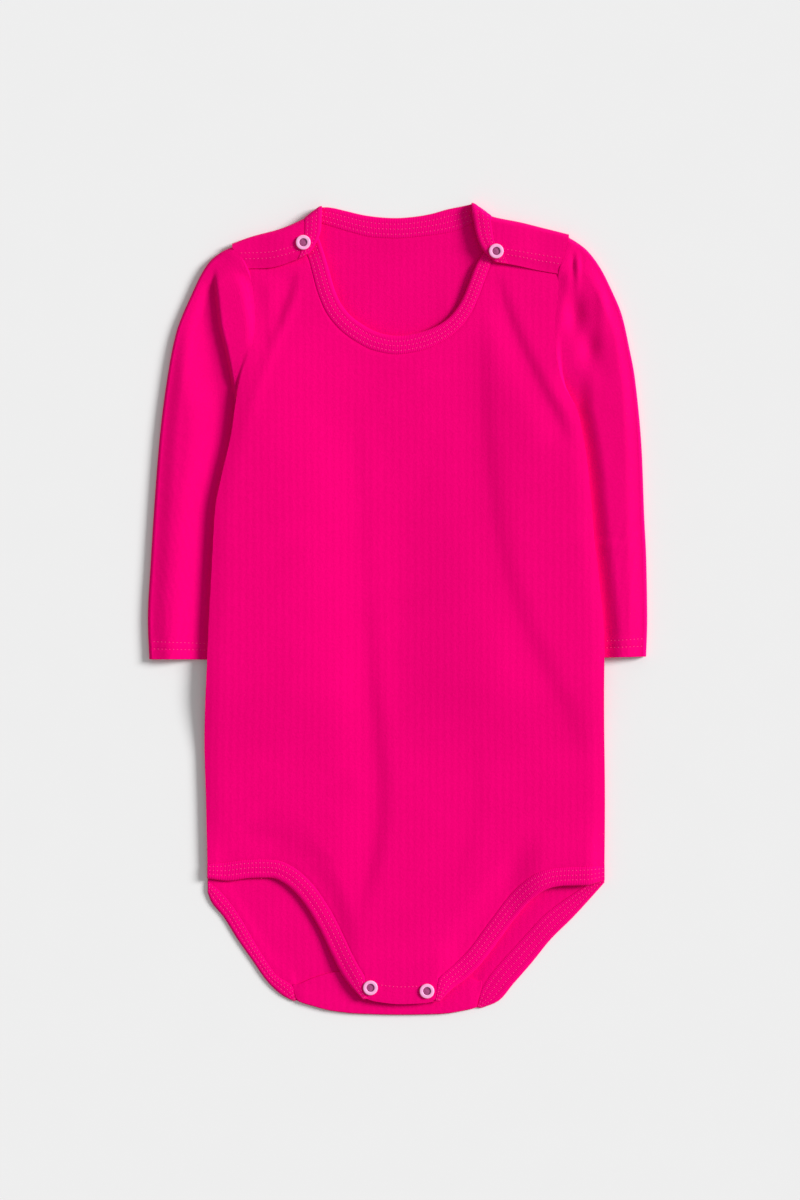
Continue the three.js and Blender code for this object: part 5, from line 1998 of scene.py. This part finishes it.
def sew(front: Front, back: Back, arms: Sequence[Sleeve], bands: Sequence[Band]) -> list[Thread]:
    """Sews the whole garment.

    Args:
        front: the front panel.
        back: the back panel and flaps.
        arms: both sleeves.
        bands: the neck and leg bands.

    Returns:
        The threads of the bands and of the hems.
    """
    binding = Thread("band_stitches")
    for band in bands:
        for share in STITCH_SHARES:
            binding.row(band.top(share))
    hems = Thread("hem_stitches")
    for arm in arms:
        for rise in arm.HEM_ROWS:
            hems.row(arm.hem_line(rise)[HEM_LINE_ENDS])
    for side in Side:
        for rise in FLAP_ROWS:
            hems.row(back.flap_line(side, rise))
    hems.row(front.crotch_line(CROTCH_ROW))
    return [binding, hems]


def add_snaps() -> None:
    """Makes the rings and the cores of the snaps, the cores dark partly with painted shade, and gives
    the posts their finish.
    """
    enamel = ENAMEL.material()
    core_and_shade = CORE_AND_SHADE.material()
    for place in SNAP_PLACES:
        add_piece(SnapRing(place).build(), enamel, [place.part("ring")])
        add_piece(SnapCoreAndShade(place).build(), core_and_shade)
        post = bpy.data.objects[place.part("post")]
        post.data.materials.clear()
        post.data.materials.append(enamel)


@dataclass
class Bodysuit:
    """The whole garment."""

    front: Front = field(default_factory=Front)
    back: Back = field(default_factory=Back)

    def build(self) -> None:
        knit = KNIT.material()
        binding = BINDING.material()
        thread = THREAD.material()
        front = add_piece(self.front.build(), knit, ["front"])
        back = add_piece(self.back.build(), knit, ["back"])
        front_bands = [front_neck_band(self.front)]
        front_bands += [leg_band(self.front.panel, plan) for plan in FRONT_LEG_BANDS]
        back_bands = [back_neck_band(self.back)]
        back_bands += [leg_band(self.back.panel, plan) for plan in BACK_LEG_BANDS]
        strips = {
            band.name: add_piece(band.build(), binding, [band.node])
            for band in front_bands + back_bands
        }
        facing = add_piece(Facing().build(), knit, ["crotch_facing"])
        add_snaps()
        [strips[band.name] for band in back_bands] + [facing]
        arms = sleeves()
        for sleeve in arms:
            piece = add_piece(sleeve.build(), knit, [f"sleeve_{sleeve.side.value}"])
        for sewn in sew(self.front, self.back, arms, front_bands + back_bands):
            add_piece(sewn.build(), thread)


def frame_shift() -> np.ndarray:
    """From the garment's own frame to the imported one, found at one of the snaps."""
    place = SNAP_PLACES[0]
    low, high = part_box(place.part("ring"))
    middle = (np.array(low) + np.array(high)) / 2 / MM
    return np.array([middle[0] - place.x, middle[1] - place.y, low[2] / MM - RING_LOW])


def main() -> None:
    """Builds the garment and the studio."""
    logging.basicConfig(level=logging.INFO, format="%(name)s: %(message)s")
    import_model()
    Home.shift = frame_shift()
    Bodysuit().build()
    Studio().build()


if __name__ == "__main__":
    main()
